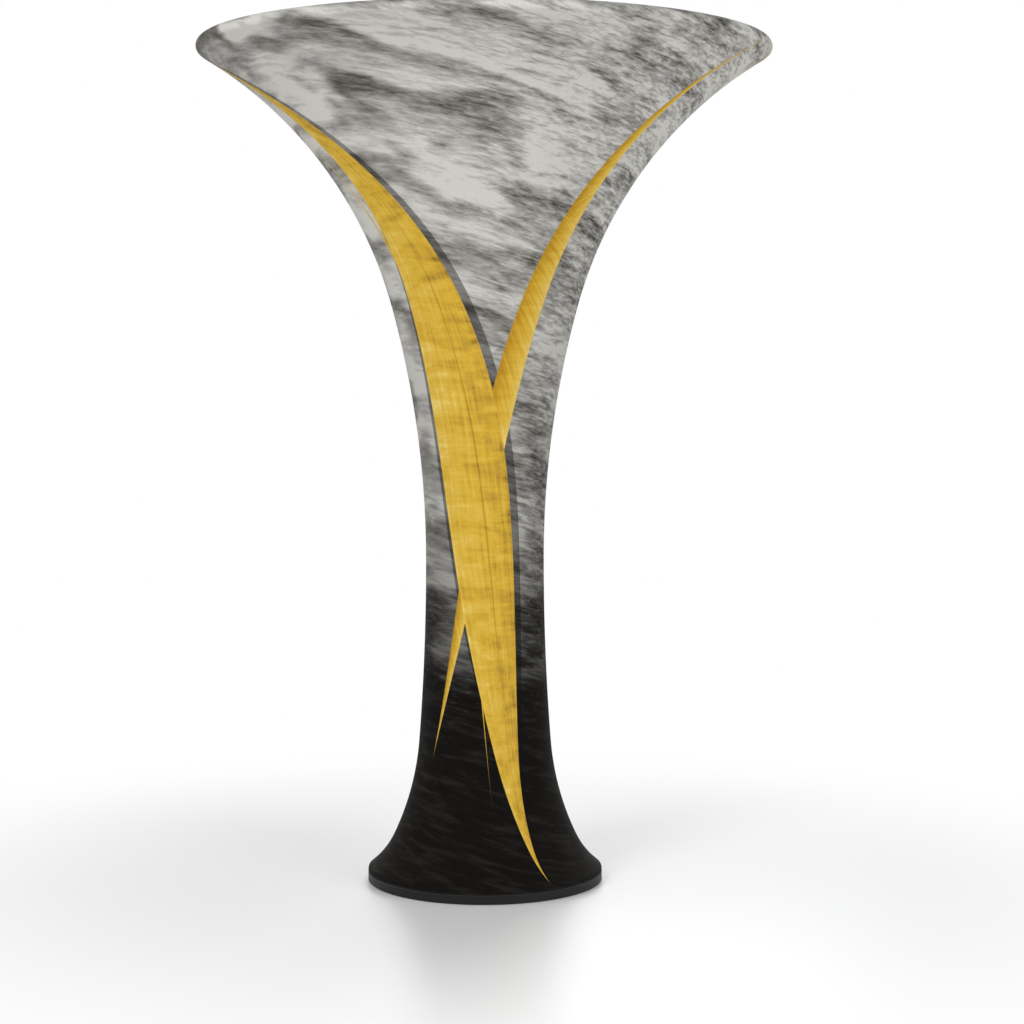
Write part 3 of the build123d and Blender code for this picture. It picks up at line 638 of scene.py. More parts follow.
class Bench:
    """Modelling steps that every sub-assembly uses."""

    @staticmethod
    def clear_choice() -> None:
        """Deselect every object."""
        if bpy.context.mode != "OBJECT":
            bpy.ops.object.mode_set(mode="OBJECT")
        bpy.ops.object.select_all(action="DESELECT")

    @staticmethod
    def draw(points: Sequence[Vector]) -> bpy.types.Object:
        """Draw a chain of edges through points, and stay in edit mode.

        Args:
            points: The places, in order.

        Returns:
            The object.
        """
        Bench.clear_choice()
        bpy.ops.mesh.primitive_plane_add(size=0.01, location=points[0])
        chain = bpy.context.active_object
        bpy.ops.object.mode_set(mode="EDIT")
        bpy.ops.mesh.select_all(action="SELECT")
        bpy.ops.mesh.merge(type="CENTER")
        for start, end in zip(points, points[1:]):
            step = {"value": tuple(end - start)}
            bpy.ops.mesh.extrude_vertices_move(TRANSFORM_OT_translate=step)
        bpy.ops.mesh.select_all(action="SELECT")
        return chain

    @staticmethod
    def settle(piece: bpy.types.Object, name: str) -> bpy.types.Object:
        """Leave edit mode and put the object's place into its mesh.

        Args:
            piece: The object.
            name: Its final name.

        Returns:
            The object.
        """
        if bpy.context.mode != "OBJECT":
            bpy.ops.object.mode_set(mode="OBJECT")
        Bench.choose(piece)
        bpy.ops.object.transform_apply(location=True, rotation=True, scale=True)
        piece.name = name
        piece.data.name = name
        return piece

    @staticmethod
    def choose(piece: bpy.types.Object) -> None:
        """Select one object alone and make it active."""
        Bench.clear_choice()
        piece.select_set(True)
        bpy.context.view_layer.objects.active = piece

    @staticmethod
    def thicken(piece: bpy.types.Object, wall: float, inner_slot: int = 0) -> None:
        """Give an open sheet a wall on its inner side.

        Args:
            piece: The sheet, with its faces pointing outwards.
            wall: The wall's thickness.
            inner_slot: How many slots on the inner faces' material is.
        """
        Bench.choose(piece)
        shell = piece.modifiers.new("wall", "SOLIDIFY")
        shell.thickness = wall
        shell.offset = -1.0
        shell.use_even_offset = True
        shell.material_offset = inner_slot
        bpy.ops.object.modifier_apply(modifier=shell.name)

    @staticmethod
    def smooth(piece: bpy.types.Object, angle: float = 35.0) -> None:
        """Shade a piece smooth up to an angle."""
        Bench.choose(piece)
        bpy.ops.object.shade_smooth_by_angle(angle=math.radians(angle))

    @staticmethod
    def turn_over(sheet: bpy.types.Object) -> None:
        """Turn all of a sheet's faces over."""
        Bench.choose(sheet)
        bpy.ops.object.mode_set(mode="EDIT")
        bpy.ops.mesh.select_all(action="SELECT")
        bpy.ops.mesh.flip_normals()
        bpy.ops.object.mode_set(mode="OBJECT")

    @staticmethod
    def stand(piece: bpy.types.Object, place: Matrix) -> bpy.types.Object:
        """Put a modelled piece at its place, in its mesh."""
        piece.matrix_world = place
        return Bench.settle(piece, piece.name)

    @staticmethod
    def bevel(block: bpy.types.Object, test: Callable[[Vector, Vector], bool], offset: float,
              segments: int) -> None:
        """Round the edges of the active block that a test picks.

        Args:
            block: The block.
            test: Says from an edge's two ends whether it is rounded.
            offset: The width of the rounding.
            segments: The number of its steps.
        """
        corners = block.data.vertices
        for edge in block.data.edges:
            first, second = (corners[i].co for i in edge.vertices)
            edge.select = test(first, second)
        for face in block.data.polygons:
            face.select = False
        bpy.ops.object.mode_set(mode="EDIT")
        bpy.ops.mesh.select_mode(type="EDGE")
        bpy.ops.mesh.bevel(offset=offset, segments=segments)
        bpy.ops.object.mode_set(mode="OBJECT")

    @staticmethod
    def cut(block: bpy.types.Object, tool: bpy.types.Object) -> None:
        """Cut a tool's shape out of a block, and remove the tool."""
        Bench.choose(block)
        hole = block.modifiers.new("hole", "BOOLEAN")
        hole.operation = "DIFFERENCE"
        hole.object = tool
        hole.solver = "EXACT"
        bpy.ops.object.modifier_apply(modifier=hole.name)
        bpy.data.objects.remove(tool)

    @staticmethod
    def join(pieces: Sequence[bpy.types.Object], name: str) -> bpy.types.Object:
        """Join modelled pieces into one object.

        Args:
            pieces: The pieces.
            name: The joined piece's name.

        Returns:
            The piece.
        """
        Bench.choose(pieces[0])
        for piece in pieces[1:]:
            piece.select_set(True)
        bpy.ops.object.join()
        joined = bpy.context.active_object
        joined.name = name
        return joined

    @staticmethod
    def scatter(pattern: bpy.types.Object, places: Sequence[Matrix], name: str) -> bpy.types.Object:
        """Copy a modelled shape to many places as one piece, and remove the shape.

        Args:
            pattern: The modelled shape, at the origin.
            places: Where each copy stands.
            name: The piece's name.

        Returns:
            The piece.
        """
        mesh = pattern.data
        count = len(mesh.vertices)
        flat = np.empty(count * 3, np.float64)
        mesh.vertices.foreach_get("co", flat)
        shape = flat.reshape(-1, 3)
        faces = [tuple(face.vertices) for face in mesh.polygons]
        corners: list[np.ndarray] = []
        joined: list[tuple[int, ...]] = []
        for index, place in enumerate(places):
            matrix = np.array(place)
            corners.append(shape @ matrix[:3, :3].T + matrix[:3, 3])
            joined += [tuple(corner + index * count for corner in face) for face in faces]
        made = bpy.data.meshes.new(name)
        made.from_pydata(np.concatenate(corners).tolist(), [], joined)
        made.update()
        piece = bpy.data.objects.new(name, made)
        bpy.context.scene.collection.objects.link(piece)
        bpy.data.objects.remove(pattern)
        Bench.smooth(piece, 50.0)
        return piece

    @staticmethod
    def dress(piece: bpy.types.Object, *finishes: bpy.types.Material) -> None:
        """Give a new piece its materials."""
        piece.data.materials.clear()
        for finish in finishes:
            piece.data.materials.append(finish)


def fit(piece: bpy.types.Object, body: str, node: str) -> None:
    """Let a piece ride on a body and stand for a node, whose carried-over part is hidden.

    Args:
        piece: The piece.
        body: The body that it rides on.
        node: The node that it stands for.
    """
    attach(piece, body)
    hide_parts(node)


# --------------------------------------------------------------------------- the outline


@dataclass(frozen=True)
class Outline:
    """The meridian that cover, hoops and ribs share: tangent bends from hem to rim."""

    foot: tuple[float, float] = (0.5095, 0.055)
    slopes: tuple[float, ...] = (-52.5, -25.5, -4.5, 0.0, 15.4, 59.4)
    radii: tuple[float, ...] = (0.3785, 1.1835, 10.174, 4.104, 1.7775)
    rim_radius: float = 0.0248
    rim_end: float = 140.0
    hem_bottom: float = 0.0363
    hem_round: float = 0.006

    def bends(self) -> list[tuple[tuple[float, float], float, float, float]]:
        """Return each bend's centre, radius, low slope and high slope."""
        corner = self.foot
        found = []
        for radius, low, high in zip(self.radii, self.slopes, self.slopes[1:]):
            lean, tip = math.radians(low), math.radians(high)
            centre = (corner[0] + radius * math.cos(lean), corner[1] - radius * math.sin(lean))
            found.append((centre, radius, low, high))
            corner = (centre[0] - radius * math.cos(tip), centre[1] + radius * math.sin(tip))
        return found

    def point(self, slope: float, inset: float = 0.0) -> tuple[float, float]:
        """Return radius and height at a slope.

        Args:
            slope: Degrees from upright.
            inset: The depth under the cover's outside.

        Returns:
            Radius and height.
        """
        bends = self.bends()
        centre, radius, _, _ = next((bend for bend in bends if slope <= bend[3]), bends[-1])
        lean = math.radians(slope)
        reach = radius + inset
        return (centre[0] - reach * math.cos(lean), centre[1] + reach * math.sin(lean))

    def rim_centre(self) -> tuple[float, float]:
        """Return the middle of the rim's round section."""
        end = self.point(self.slopes[-1])
        lean = math.radians(self.slopes[-1])
        return (end[0] - self.rim_radius * math.cos(lean),
                end[1] + self.rim_radius * math.sin(lean))

    def rim_point(self, angle: float, reach: float) -> tuple[float, float]:
        """Return radius and height at an angle round the rim's section."""
        centre = self.rim_centre()
        lean = math.radians(angle)
        return (centre[0] + reach * math.cos(lean), centre[1] + reach * math.sin(lean))

    def run(self, slope_from: float, slope_to: float, inset: float = 0.0,
            step: float = 0.03) -> list[tuple[float, float]]:
        """Return places along the bends between two slopes, at most a step apart."""
        line = [self.point(slope_from, inset)]
        for _, radius, low, high in self.bends():
            start, end = max(low, slope_from), min(high, slope_to)
            if end - start < 1e-6:
                continue
            parts = max(2, math.ceil((radius + inset) * math.radians(end - start) / step))
            parts = max(parts, math.ceil((end - start) / 2.5))
            line += [self.point(start + (end - start) * i / parts, inset)
                     for i in range(1, parts + 1)]
        return line

    def cloth(self, slope_top: float = 59.4, over_rim: bool = True) -> list[tuple[float, float]]:
        """Return the outside of the cover from its hem, with the corner rounded a little."""
        radius, height = self.foot
        turn_in = self.hem_round
        line = [(radius, self.hem_bottom), (radius, self.hem_bottom + 0.004),
                (radius, height - 0.012), (radius, height - turn_in)]
        lean = math.radians(self.slopes[0])
        far = (radius + turn_in * math.sin(lean), height + turn_in * math.cos(lean))
        for share in (0.3, 0.5, 0.7):
            near = 1.0 - share
            line.append((near * near * radius + 2 * near * share * radius + share * share * far[0],
                         near * near * (height - turn_in) + 2 * near * share * height
                         + share * share * far[1]))
        first = self.slopes[0] + math.degrees(turn_in / self.radii[0])
        line += self.run(first, slope_top)
        if over_rim:
            start, steps = -self.slopes[-1], 26
            line += [self.rim_point(start + (self.rim_end - start) * i / steps, self.rim_radius)
                     for i in range(1, steps + 1)]
        return line

    def station(self, azimuth: float, slope: float, inset: float, drop: float = 0.0) -> Matrix:
        """Return a place on the meridian: x goes round, y up the meridian, z outwards.

        Args:
            azimuth: Degrees round the tower.
            slope: Degrees from upright.
            inset: The depth under the cover's outside.
            drop: A distance straight down along the slope.

        Returns:
            The place as a matrix.
        """
        turn, lean = math.radians(azimuth), math.radians(slope)
        radius, height = self.point(slope, inset)
        radius -= drop * math.sin(lean)
        height -= drop * math.cos(lean)
        across = Vector((-math.sin(turn), math.cos(turn), 0.0))
        outward = Vector((math.cos(lean) * math.cos(turn), math.cos(lean) * math.sin(turn),
                          -math.sin(lean)))
        middle = Vector((radius * math.cos(turn), radius * math.sin(turn), height))
        return place_of(middle, across, outward)

    def rim_station(self, azimuth: float, angle: float, reach: float) -> Matrix:
        """Return a place round the rim's section whose z points at its middle."""
        turn, lean = math.radians(azimuth), math.radians(angle)
        radius, height = self.rim_point(angle, reach)
        across = Vector((-math.sin(turn), math.cos(turn), 0.0))
        inward = Vector((-math.cos(lean) * math.cos(turn), -math.cos(lean) * math.sin(turn),
                         -math.sin(lean)))
        middle = Vector((radius * math.cos(turn), radius * math.sin(turn), height))
        return place_of(middle, across, inward)


def place_of(middle: Vector, across: Vector, outward: Vector) -> Matrix:
    """Return the matrix of a place from its middle, its x and its z."""
    along = outward.cross(across)
    turn = Matrix((across, along, outward)).transposed().to_4x4()
    return Matrix.Translation(middle) @ turn


OUTLINE = Outline()


# --------------------------------------------------------------------------- cover


@dataclass(frozen=True)
class PanelCut:
    """One panel: its node, its first azimuth, its arc, its strips and its side of the zip."""

    name: str
    node: str
    start: float
    arc: float
    steps: int
    side: int


@dataclass
class CoverCloth:
    """The printed stretch cover: a front panel and two back panels, with seams and hems."""

    wall: float = 0.0012
    back_gap: float = 0.008
    gap_step: float = 0.004
    seam_cuts: tuple[float, float] = (0.003, 0.009)
    seam_sink: float = 0.0011
    weld: float = 0.00005
    flat_run: float = 3.95
    flat_radius: float = 1.20
    stretch: float = 1.06
    stitch_pitch: float = 0.0052
    stitch_length: float = 0.0036
    thread: float = 0.0006
    seam_row: float = 0.0062
    zip_row: float = 0.0112
    row_slopes: tuple[float, float] = (-52.0, 59.3)
    hem_rows: tuple[float, float] = (0.0445, 0.0475)
    hem_arc: tuple[float, float] = (91.2, 448.8)
    rim_row: float = 127.0
    rim_arc: tuple[float, float] = (90.7, 449.3)
    binding_heights: tuple[float, ...] = (0.0366, 0.0380, 0.0405)
    binding_wall: float = 0.0005
    fold_angles: tuple[float, ...] = (110, 116, 122, 128, 134, 140.5)
    fold_wall: float = 0.0009
    grip_angles: tuple[float, ...] = (132, 138, 144, 150, 156, 162)
    grip_wall: float = 0.0012
    panels: tuple[PanelCut, ...] = (
        PanelCut("panel_front", "cover_front", 180.0, 180.0, 104, 0),
        PanelCut("panel_back_left", "cover_back_left", 90.0, 90.0, 52, -1),
        PanelCut("panel_back_right", "cover_back_right", 0.0, 90.0, 52, 1),
    )

    def lay_print(self, cloth: bpy.types.Object, wrap: int = 0) -> None:
        """Lay the print on a piece: its turn round the tower and its run up the cloth.

        Args:
            cloth: The piece.
            wrap: -1 where its back edge is the print's start, and 1 where it is its end.
        """
        mesh = cloth.data
        line = np.array(OUTLINE.cloth())
        starts, steps = line[:-1], np.diff(line, axis=0)
        lengths = np.hypot(steps[:, 0], steps[:, 1])
        runs = np.concatenate([[0.0], np.cumsum(lengths)])[:-1]
        flat = np.empty(len(mesh.vertices) * 3)
        mesh.vertices.foreach_get("co", flat)
        places = flat.reshape(-1, 3)
        radius = np.hypot(places[:, 0], places[:, 1])
        best = np.full(len(places), 1e9)
        run = np.zeros(len(places))
        for start, step, length, before in zip(starts, steps, lengths, runs):
            off = np.stack([radius - start[0], places[:, 2] - start[1]], axis=1)
            share = np.clip((off @ step) / length**2, 0.0, 1.0)
            gap = np.hypot(off[:, 0] - share * step[0], off[:, 1] - share * step[1])
            nearer = gap < best
            best[nearer] = gap[nearer]
            run[nearer] = before + share[nearer] * length
        turn = np.degrees(np.arctan2(places[:, 1], places[:, 0])) + 90.0
        turn = np.where(turn > 180.0 + 1e-4, turn - 360.0, turn)
        if wrap < 0:
            turn = np.where(turn > 0.0, turn - 360.0, turn)
        if wrap > 0:
            turn = np.where(turn < 0.0, turn + 360.0, turn)
        layer = mesh.uv_layers.new(name=PRINT_MAP)
        corners = np.empty(len(mesh.loops), np.int32)
        mesh.loops.foreach_get("vertex_index", corners)
        both = np.stack([0.5 + turn[corners] / 360.0, run[corners] / MAP_RUN], axis=1)
        layer.data.foreach_set("uv", both.astype(np.float32).ravel())

    def spin(self, line: Sequence[tuple[float, float]], start: float, arc: float, steps: int
             ) -> bpy.types.Object:
        """Draw a line of radius and height, and spin it round the tower in edit mode.

        Args:
            line: The line.
            start: The azimuth of the first edge.
            arc: How far it goes round.
            steps: The number of strips.

        Returns:
            The object.
        """
        turn = math.radians(start)
        chain = Bench.draw([Vector((r * math.cos(turn), r * math.sin(turn), z)) for r, z in line])
        bpy.ops.mesh.spin(steps=steps, angle=-math.radians(arc), center=(0.0, 0.0, 0.0),
                          axis=(0.0, 0.0, 1.0))
        return chain

    def close_up(self, chain: bpy.types.Object, name: str) -> bpy.types.Object:
        """Weld a spun sheet, give its faces one side and leave edit mode."""
        bpy.ops.mesh.select_all(action="SELECT")
        bpy.ops.mesh.remove_doubles(threshold=self.weld)
        bpy.ops.mesh.normals_make_consistent(inside=False)
        return Bench.settle(chain, name)

    def spin_panel(self, cut: PanelCut) -> bpy.types.Object:
        """Spin a panel from the outline, and sink its sewn edges.

        Args:
            cut: The panel's place round the tower.

        Returns:
            The panel, as an open sheet facing outwards.
        """
        chain = self.spin(OUTLINE.cloth(), cut.start, cut.arc, cut.steps)
        deep = 1.0 if cut.side else -1.0
        cuts = [(deep * distance, Axis.DEEP) for distance in self.seam_cuts]
        if cut.side:
            cuts += [(cut.side * self.back_gap, Axis.ACROSS),
                     (cut.side * (self.back_gap + self.gap_step), Axis.ACROSS)]
        for distance, axis in cuts:
            bpy.ops.mesh.select_all(action="SELECT")
            normal = Vector(axis.value)
            drop = axis is Axis.ACROSS and abs(distance) == self.back_gap
            bpy.ops.mesh.bisect(plane_co=normal * distance, plane_no=normal,
                                clear_inner=drop and distance > 0,
                                clear_outer=drop and distance < 0)
        panel = self.close_up(chain, cut.name)
        self.face_outwards(panel)
        self.sink_seams(panel)
        return panel

    def face_outwards(self, sheet: bpy.types.Object) -> None:
        """Turn a sheet's faces if they point at the tower's axis."""
        vote = 0.0
        for face in sheet.data.polygons:
            if face.center.z < 2.0:
                vote += face.normal.x * face.center.x + face.normal.y * face.center.y
        if vote < 0.0:
            Bench.turn_over(sheet)

    def sink_seams(self, panel: bpy.types.Object) -> None:
        """Press the sewn side edges of a panel inwards."""
        Bench.choose(panel)
        for vertex in panel.data.vertices:
            vertex.select = abs(vertex.co.y) < 0.0002
        for edge in panel.data.edges:
            edge.select = all(panel.data.vertices[i].select for i in edge.vertices)
        for face in panel.data.polygons:
            face.select = False
        bpy.ops.object.mode_set(mode="EDIT")
        bpy.ops.mesh.select_mode(type="VERT")
        bpy.ops.transform.shrink_fatten(value=-self.seam_sink)
        bpy.ops.object.mode_set(mode="OBJECT")

    def stitch(self) -> bpy.types.Object:
        """Model one stitch: a short bowed thread that dives at both ends, along y."""
        Bench.clear_choice()
        bpy.ops.mesh.primitive_cylinder_add(vertices=5, radius=self.thread / 2,
                                            depth=self.stitch_length, end_fill_type="NOTHING")
        thread = bpy.context.active_object
        bpy.ops.object.mode_set(mode="EDIT")
        bpy.ops.mesh.select_all(action="SELECT")
        bpy.ops.transform.rotate(value=math.pi / 2, orient_axis="X", center_override=(0, 0, 0))
        bpy.ops.mesh.bisect(plane_co=(0, -self.stitch_length * 0.25, 0), plane_no=(0, 1, 0))
        bpy.ops.mesh.select_all(action="SELECT")
        bpy.ops.mesh.bisect(plane_co=(0, self.stitch_length * 0.25, 0), plane_no=(0, 1, 0))
        bpy.ops.object.mode_set(mode="OBJECT")
        half = self.stitch_length / 2
        for vertex in thread.data.vertices:
            share = abs(vertex.co.y) / half
            vertex.co.z -= self.thread * 0.9 * share**2
        return Bench.settle(thread, "stitch")

    def edge_places(self, azimuth: float, aside: float) -> list[Matrix]:
        """Return stitch places up the meridian and over the rim, set aside by a distance.

        Args:
            azimuth: The seam's azimuth.
            aside: The distance round the tower.

        Returns:
            The places.
        """
        line = [Vector(p) for p in OUTLINE.run(*self.row_slopes, 0.0, 0.01)]
        line += [Vector(OUTLINE.rim_point(a, OUTLINE.rim_radius)) for a in range(-58, 134, 4)]
        places: list[Matrix] = []
        travelled, due = 0.0, 0.0
        turn = math.radians(azimuth)
        across = Vector((-math.sin(turn), math.cos(turn), 0.0))
        for start, end in zip(line, line[1:]):
            step = end - start
            while due < travelled + step.length:
                spot = start + step * ((due - travelled) / step.length)
                along = step.normalized()
                up = Vector((along.x * math.cos(turn), along.x * math.sin(turn), along.y))
                outward = across.cross(up)
                lift = self.thread * 0.15
                shift = aside * aside / (2.0 * spot.x)
                middle = Vector((spot.x * math.cos(turn), spot.x * math.sin(turn), spot.y))
                middle += across * aside + outward * lift
                middle -= Vector((math.cos(turn), math.sin(turn), 0.0)) * shift
                places.append(place_of(middle, across, outward))
                due += self.stitch_pitch
            travelled += step.length
        return places

    def ring_places(self, radius: float, height: float, lean: float, arc: tuple[float, float]
                    ) -> list[Matrix]:
        """Return stitch places round a ring.

        Args:
            radius: The ring's radius.
            height: Its height.
            lean: Degrees that its outward normal stands below level.
            arc: The azimuths where the row starts and ends.

        Returns:
            The places.
        """
        places = []
        start, end = arc
        tip = math.radians(lean)
        count = int(radius * math.radians(end - start) / self.stitch_pitch)
        for index in range(count):
            turn = math.radians(start + (end - start) * (index + 0.5) / count)
            around = Vector((-math.sin(turn), math.cos(turn), 0.0))
            outward = Vector((math.cos(tip) * math.cos(turn), math.cos(tip) * math.sin(turn),
                              -math.sin(tip)))
            middle = Vector((radius * math.cos(turn), radius * math.sin(turn), height))
            places.append(place_of(middle, -outward.cross(around), outward))
        return places

    def row(self, name: str, places: list[Matrix], thread: bpy.types.Material
            ) -> bpy.types.Object:
        """Sew one piece of stitches."""
        sewn = Bench.scatter(self.stitch(), places, name)
        Bench.dress(sewn, thread)
        return sewn

    def stitches(self, finishes: "Finishes") -> list[bpy.types.Object]:
        """Sew the rows beside the seams and the zip, and round hem and rim.

        Args:
            finishes: The materials.

        Returns:
            The rows.
        """
        seams = [place for azimuth in (0.0, 180.0) for aside in (-self.seam_row, self.seam_row)
                 for place in self.edge_places(azimuth, aside)]
        back = [place for aside in (-self.zip_row, self.zip_row)
                for place in self.edge_places(90.0, aside)]
        radius = OUTLINE.foot[0] + 0.0001
        hem = [place for height in self.hem_rows
               for place in self.ring_places(radius, height, 0.0, self.hem_arc)]
        rim_r, rim_z = OUTLINE.rim_point(self.rim_row, OUTLINE.rim_radius + 0.0010)
        rim = self.ring_places(rim_r, rim_z, -self.rim_row, self.rim_arc)
        return [self.row("side_seam_stitches", seams, finishes.grey_thread),
                self.row("zip_seam_stitches", back, finishes.grey_thread),
                self.row("hem_stitches", hem, finishes.dark_thread),
                self.row("rim_stitches", rim, finishes.grey_thread)]

    def band(self, name: str, line: list[tuple[float, float]], start: float, arc: float
             ) -> bpy.types.Object:
        """Spin a narrow band of cloth round the tower, as an open sheet.

        Args:
            name: The piece's name.
            line: Radius and height along the band's section.
            start: The azimuth of its first edge.
            arc: How far it goes round.

        Returns:
            The band.
        """
        return self.close_up(self.spin(line, start, arc, max(12, int(arc / 2.0))), name)

    def bands(self, finishes: "Finishes") -> list[bpy.types.Object]:
        """Make the hem's binding, the rim's folded hem and the grip strip inside it.

        Args:
            finishes: The materials.

        Returns:
            The bands.
        """
        radius = OUTLINE.foot[0] + 0.0003
        binding = self.band("hem_binding", [(radius, z) for z in self.binding_heights], 91.0, 358.0)
        Bench.smooth(binding)
        Bench.thicken(binding, self.binding_wall)
        Bench.dress(binding, finishes.dark_tape)
        fold_line = [OUTLINE.rim_point(a, OUTLINE.rim_radius + 0.0009) for a in self.fold_angles]
        fold = self.band("rim_hem", fold_line, 90.5, 359.0)
        Bench.thicken(fold, self.fold_wall)
        Bench.smooth(fold)
        Bench.dress(fold, finishes.knit_back)
        self.lay_print(fold)
        grip_line = [OUTLINE.rim_point(a, OUTLINE.rim_radius - 0.0008) for a in self.grip_angles]
        grip = self.band("rim_grip_strip", grip_line, 0.0, 360.0)
        Bench.thicken(grip, self.grip_wall)
        Bench.smooth(grip)
        Bench.dress(grip, finishes.dark_tape)
        return [binding, fold, grip]

    def build(self, finishes: "Finishes") -> list[bpy.types.Object]:
        """Build panels, stitches and hems.

        Args:
            finishes: The materials.

        Returns:
            The pieces.
        """
        panels = []
        for cut in self.panels:
            panel = self.spin_panel(cut)
            area = sum(face.area for face in panel.data.polygons)
            Bench.dress(panel, finishes.print_cloth, finishes.knit_back)
            Bench.thicken(panel, self.wall, 1)
            self.lay_print(panel, min(cut.side, 0))
            Bench.smooth(panel, 40.0)
            fit(panel, "tower", cut.node)
            area / self.stretch
            panels.append(panel)
        trims = self.stitches(finishes) + self.bands(finishes)
        for piece in trims:
            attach(piece, "tower")
        return panels + trims


# --------------------------------------------------------------------------- back closure


@dataclass
class BackClosure:
    """The zip down the back: tapes, coil, slider and pull, with a flap and a rim tab."""

    low: float = -25.3
    high: float = 57.0
    tape_inner: float = 0.0033
    tape_outer: float = 0.0104
    tape_inset: float = 0.00125
    tape_wall: float = 0.0009
    coil_inner: float = 0.00046
    coil_outer: float = 0.0030
    coil_pitch: float = 0.0021
    coil_depth: float = 0.0010
    coil_height: float = 0.0013
    thread_share: float = 0.36
    rest: float = -24.0
    plate_out: float = 0.0009
    plate: float = 0.0022
    plate_size: tuple[float, float] = (0.013, 0.018)
    nose_taper: float = 0.18
    pin_height: float = 0.0026
    pin_radius: float = 0.0009
    pin_length: float = 0.0100
    plate_in: float = 0.0029
    lug_width: float = 0.0040
    lug_wall: float = 0.0018
    lug_aside: float = 0.0041
    lug_top: float = 0.002
    lug_foot: float = 0.0011
    pull_size: tuple[float, float, float] = (0.0060, 0.0284, 0.0014)
    pull_back: float = 0.0158
    grip_hole: float = 0.0016
    eye_radius: float = 0.0015
    eye_wire: float = 0.00048
    trim_columns: tuple[float, ...] = (0.0076, 0.004, 0.0, -0.004, -0.0076)
    trim_wall: float = 0.0012
    trim_flat: float = 0.0154

    def strip(self, name: str, across: Sequence[float], line: list[tuple[float, float]],
              wall: float) -> bpy.types.Object:
        """Draw a strip along the back meridian.

        Args:
            name: The piece's name.
            across: The places of its columns, from one side to the other.
            line: Radius and height along it.
            wall: Its thickness.

        Returns:
            The strip.
        """
        chain = Bench.draw([Vector((across[0], r, z)) for r, z in line])
        for first, second in zip(across, across[1:]):
            step = {"value": (second - first, 0.0, 0.0)}
            bpy.ops.mesh.extrude_edges_move(TRANSFORM_OT_translate=step)
        bpy.ops.mesh.select_all(action="SELECT")
        bpy.ops.mesh.normals_make_consistent(inside=False)
        piece = Bench.settle(chain, name)
        vote = sum(face.normal.y * face.area for face in piece.data.polygons)
        if vote < 0.0:
            Bench.turn_over(piece)
        Bench.thicken(piece, wall)
        Bench.smooth(piece)
        return piece

    def coil_turn(self) -> bpy.types.Object:
        """Model one turn of the coil: a flattened loop of monofilament across the tape."""
        Bench.clear_choice()
        bpy.ops.mesh.primitive_torus_add(major_segments=8, minor_segments=4, major_radius=1.0,
                                         minor_radius=self.thread_share)
        turn = bpy.context.active_object
        half = (self.coil_outer - self.coil_inner) / 2.0
        reach = 1.0 + self.thread_share
        size = (half / reach, self.coil_pitch * 0.5 / self.thread_share * 0.8,
                self.coil_height / reach)
        bpy.ops.object.mode_set(mode="EDIT")
        bpy.ops.mesh.select_all(action="SELECT")
        bpy.ops.transform.rotate(value=math.pi / 2, orient_axis="X", center_override=(0, 0, 0))
        bpy.ops.transform.resize(value=size, center_override=(0, 0, 0))
        return Bench.settle(turn, "coil_turn")

    def coil(self, side: int, name: str) -> bpy.types.Object:
        """Repeat the coil's turn along one side of the zip.

        Args:
            side: 1 for the right and -1 for the left.
            name: The piece's name.

        Returns:
            The coil.
        """
        line = [Vector(p) for p in OUTLINE.run(self.low, self.high, self.coil_depth, 0.01)]
        places: list[Matrix] = []
        travelled = 0.0
        due = self.coil_pitch * (0.75 if side > 0 else 1.25)
        middle = side * (self.coil_inner + self.coil_outer) / 2.0
        across = Vector((-1.0, 0.0, 0.0))
        for start, end in zip(line, line[1:]):
            step = end - start
            while due < travelled + step.length:
                spot = start + step * ((due - travelled) / step.length)
                up = Vector((0.0, step.x, step.y)).normalized()
                places.append(place_of(Vector((middle, spot.x, spot.y)), across, across.cross(up)))
                due += self.coil_pitch
            travelled += step.length
        return Bench.scatter(self.coil_turn(), places, name)

    def plate_block(self, name: str, size: tuple[float, float, float], corner: float,
                    round_over: float) -> bpy.types.Object:
        """Model a plate with rounded corners and softened edges, standing on z = 0.

        Args:
            name: The piece's name.
            size: Width, length and thickness.
            corner: The radius of the corners seen from above.
            round_over: The radius of the edges.

        Returns:
            The plate.
        """
        Bench.clear_choice()
        bpy.ops.mesh.primitive_cube_add(size=1.0, location=(0, 0, size[2] / 2), scale=size)
        block = Bench.settle(bpy.context.active_object, name)
        Bench.bevel(block, lambda first, second: abs(first.z - second.z) > size[2] * 0.5,
                    corner, 5)
        edges = block.modifiers.new("round", "BEVEL")
        edges.width = round_over
        edges.segments = 2
        edges.limit_method = "ANGLE"
        edges.angle_limit = math.radians(50)
        bpy.ops.object.modifier_apply(modifier=edges.name)
        return block

    def pin_stand(self) -> float:
        """Return how far the pull's pin stands out from the cover."""
        return self.plate_out + self.plate + self.pin_height

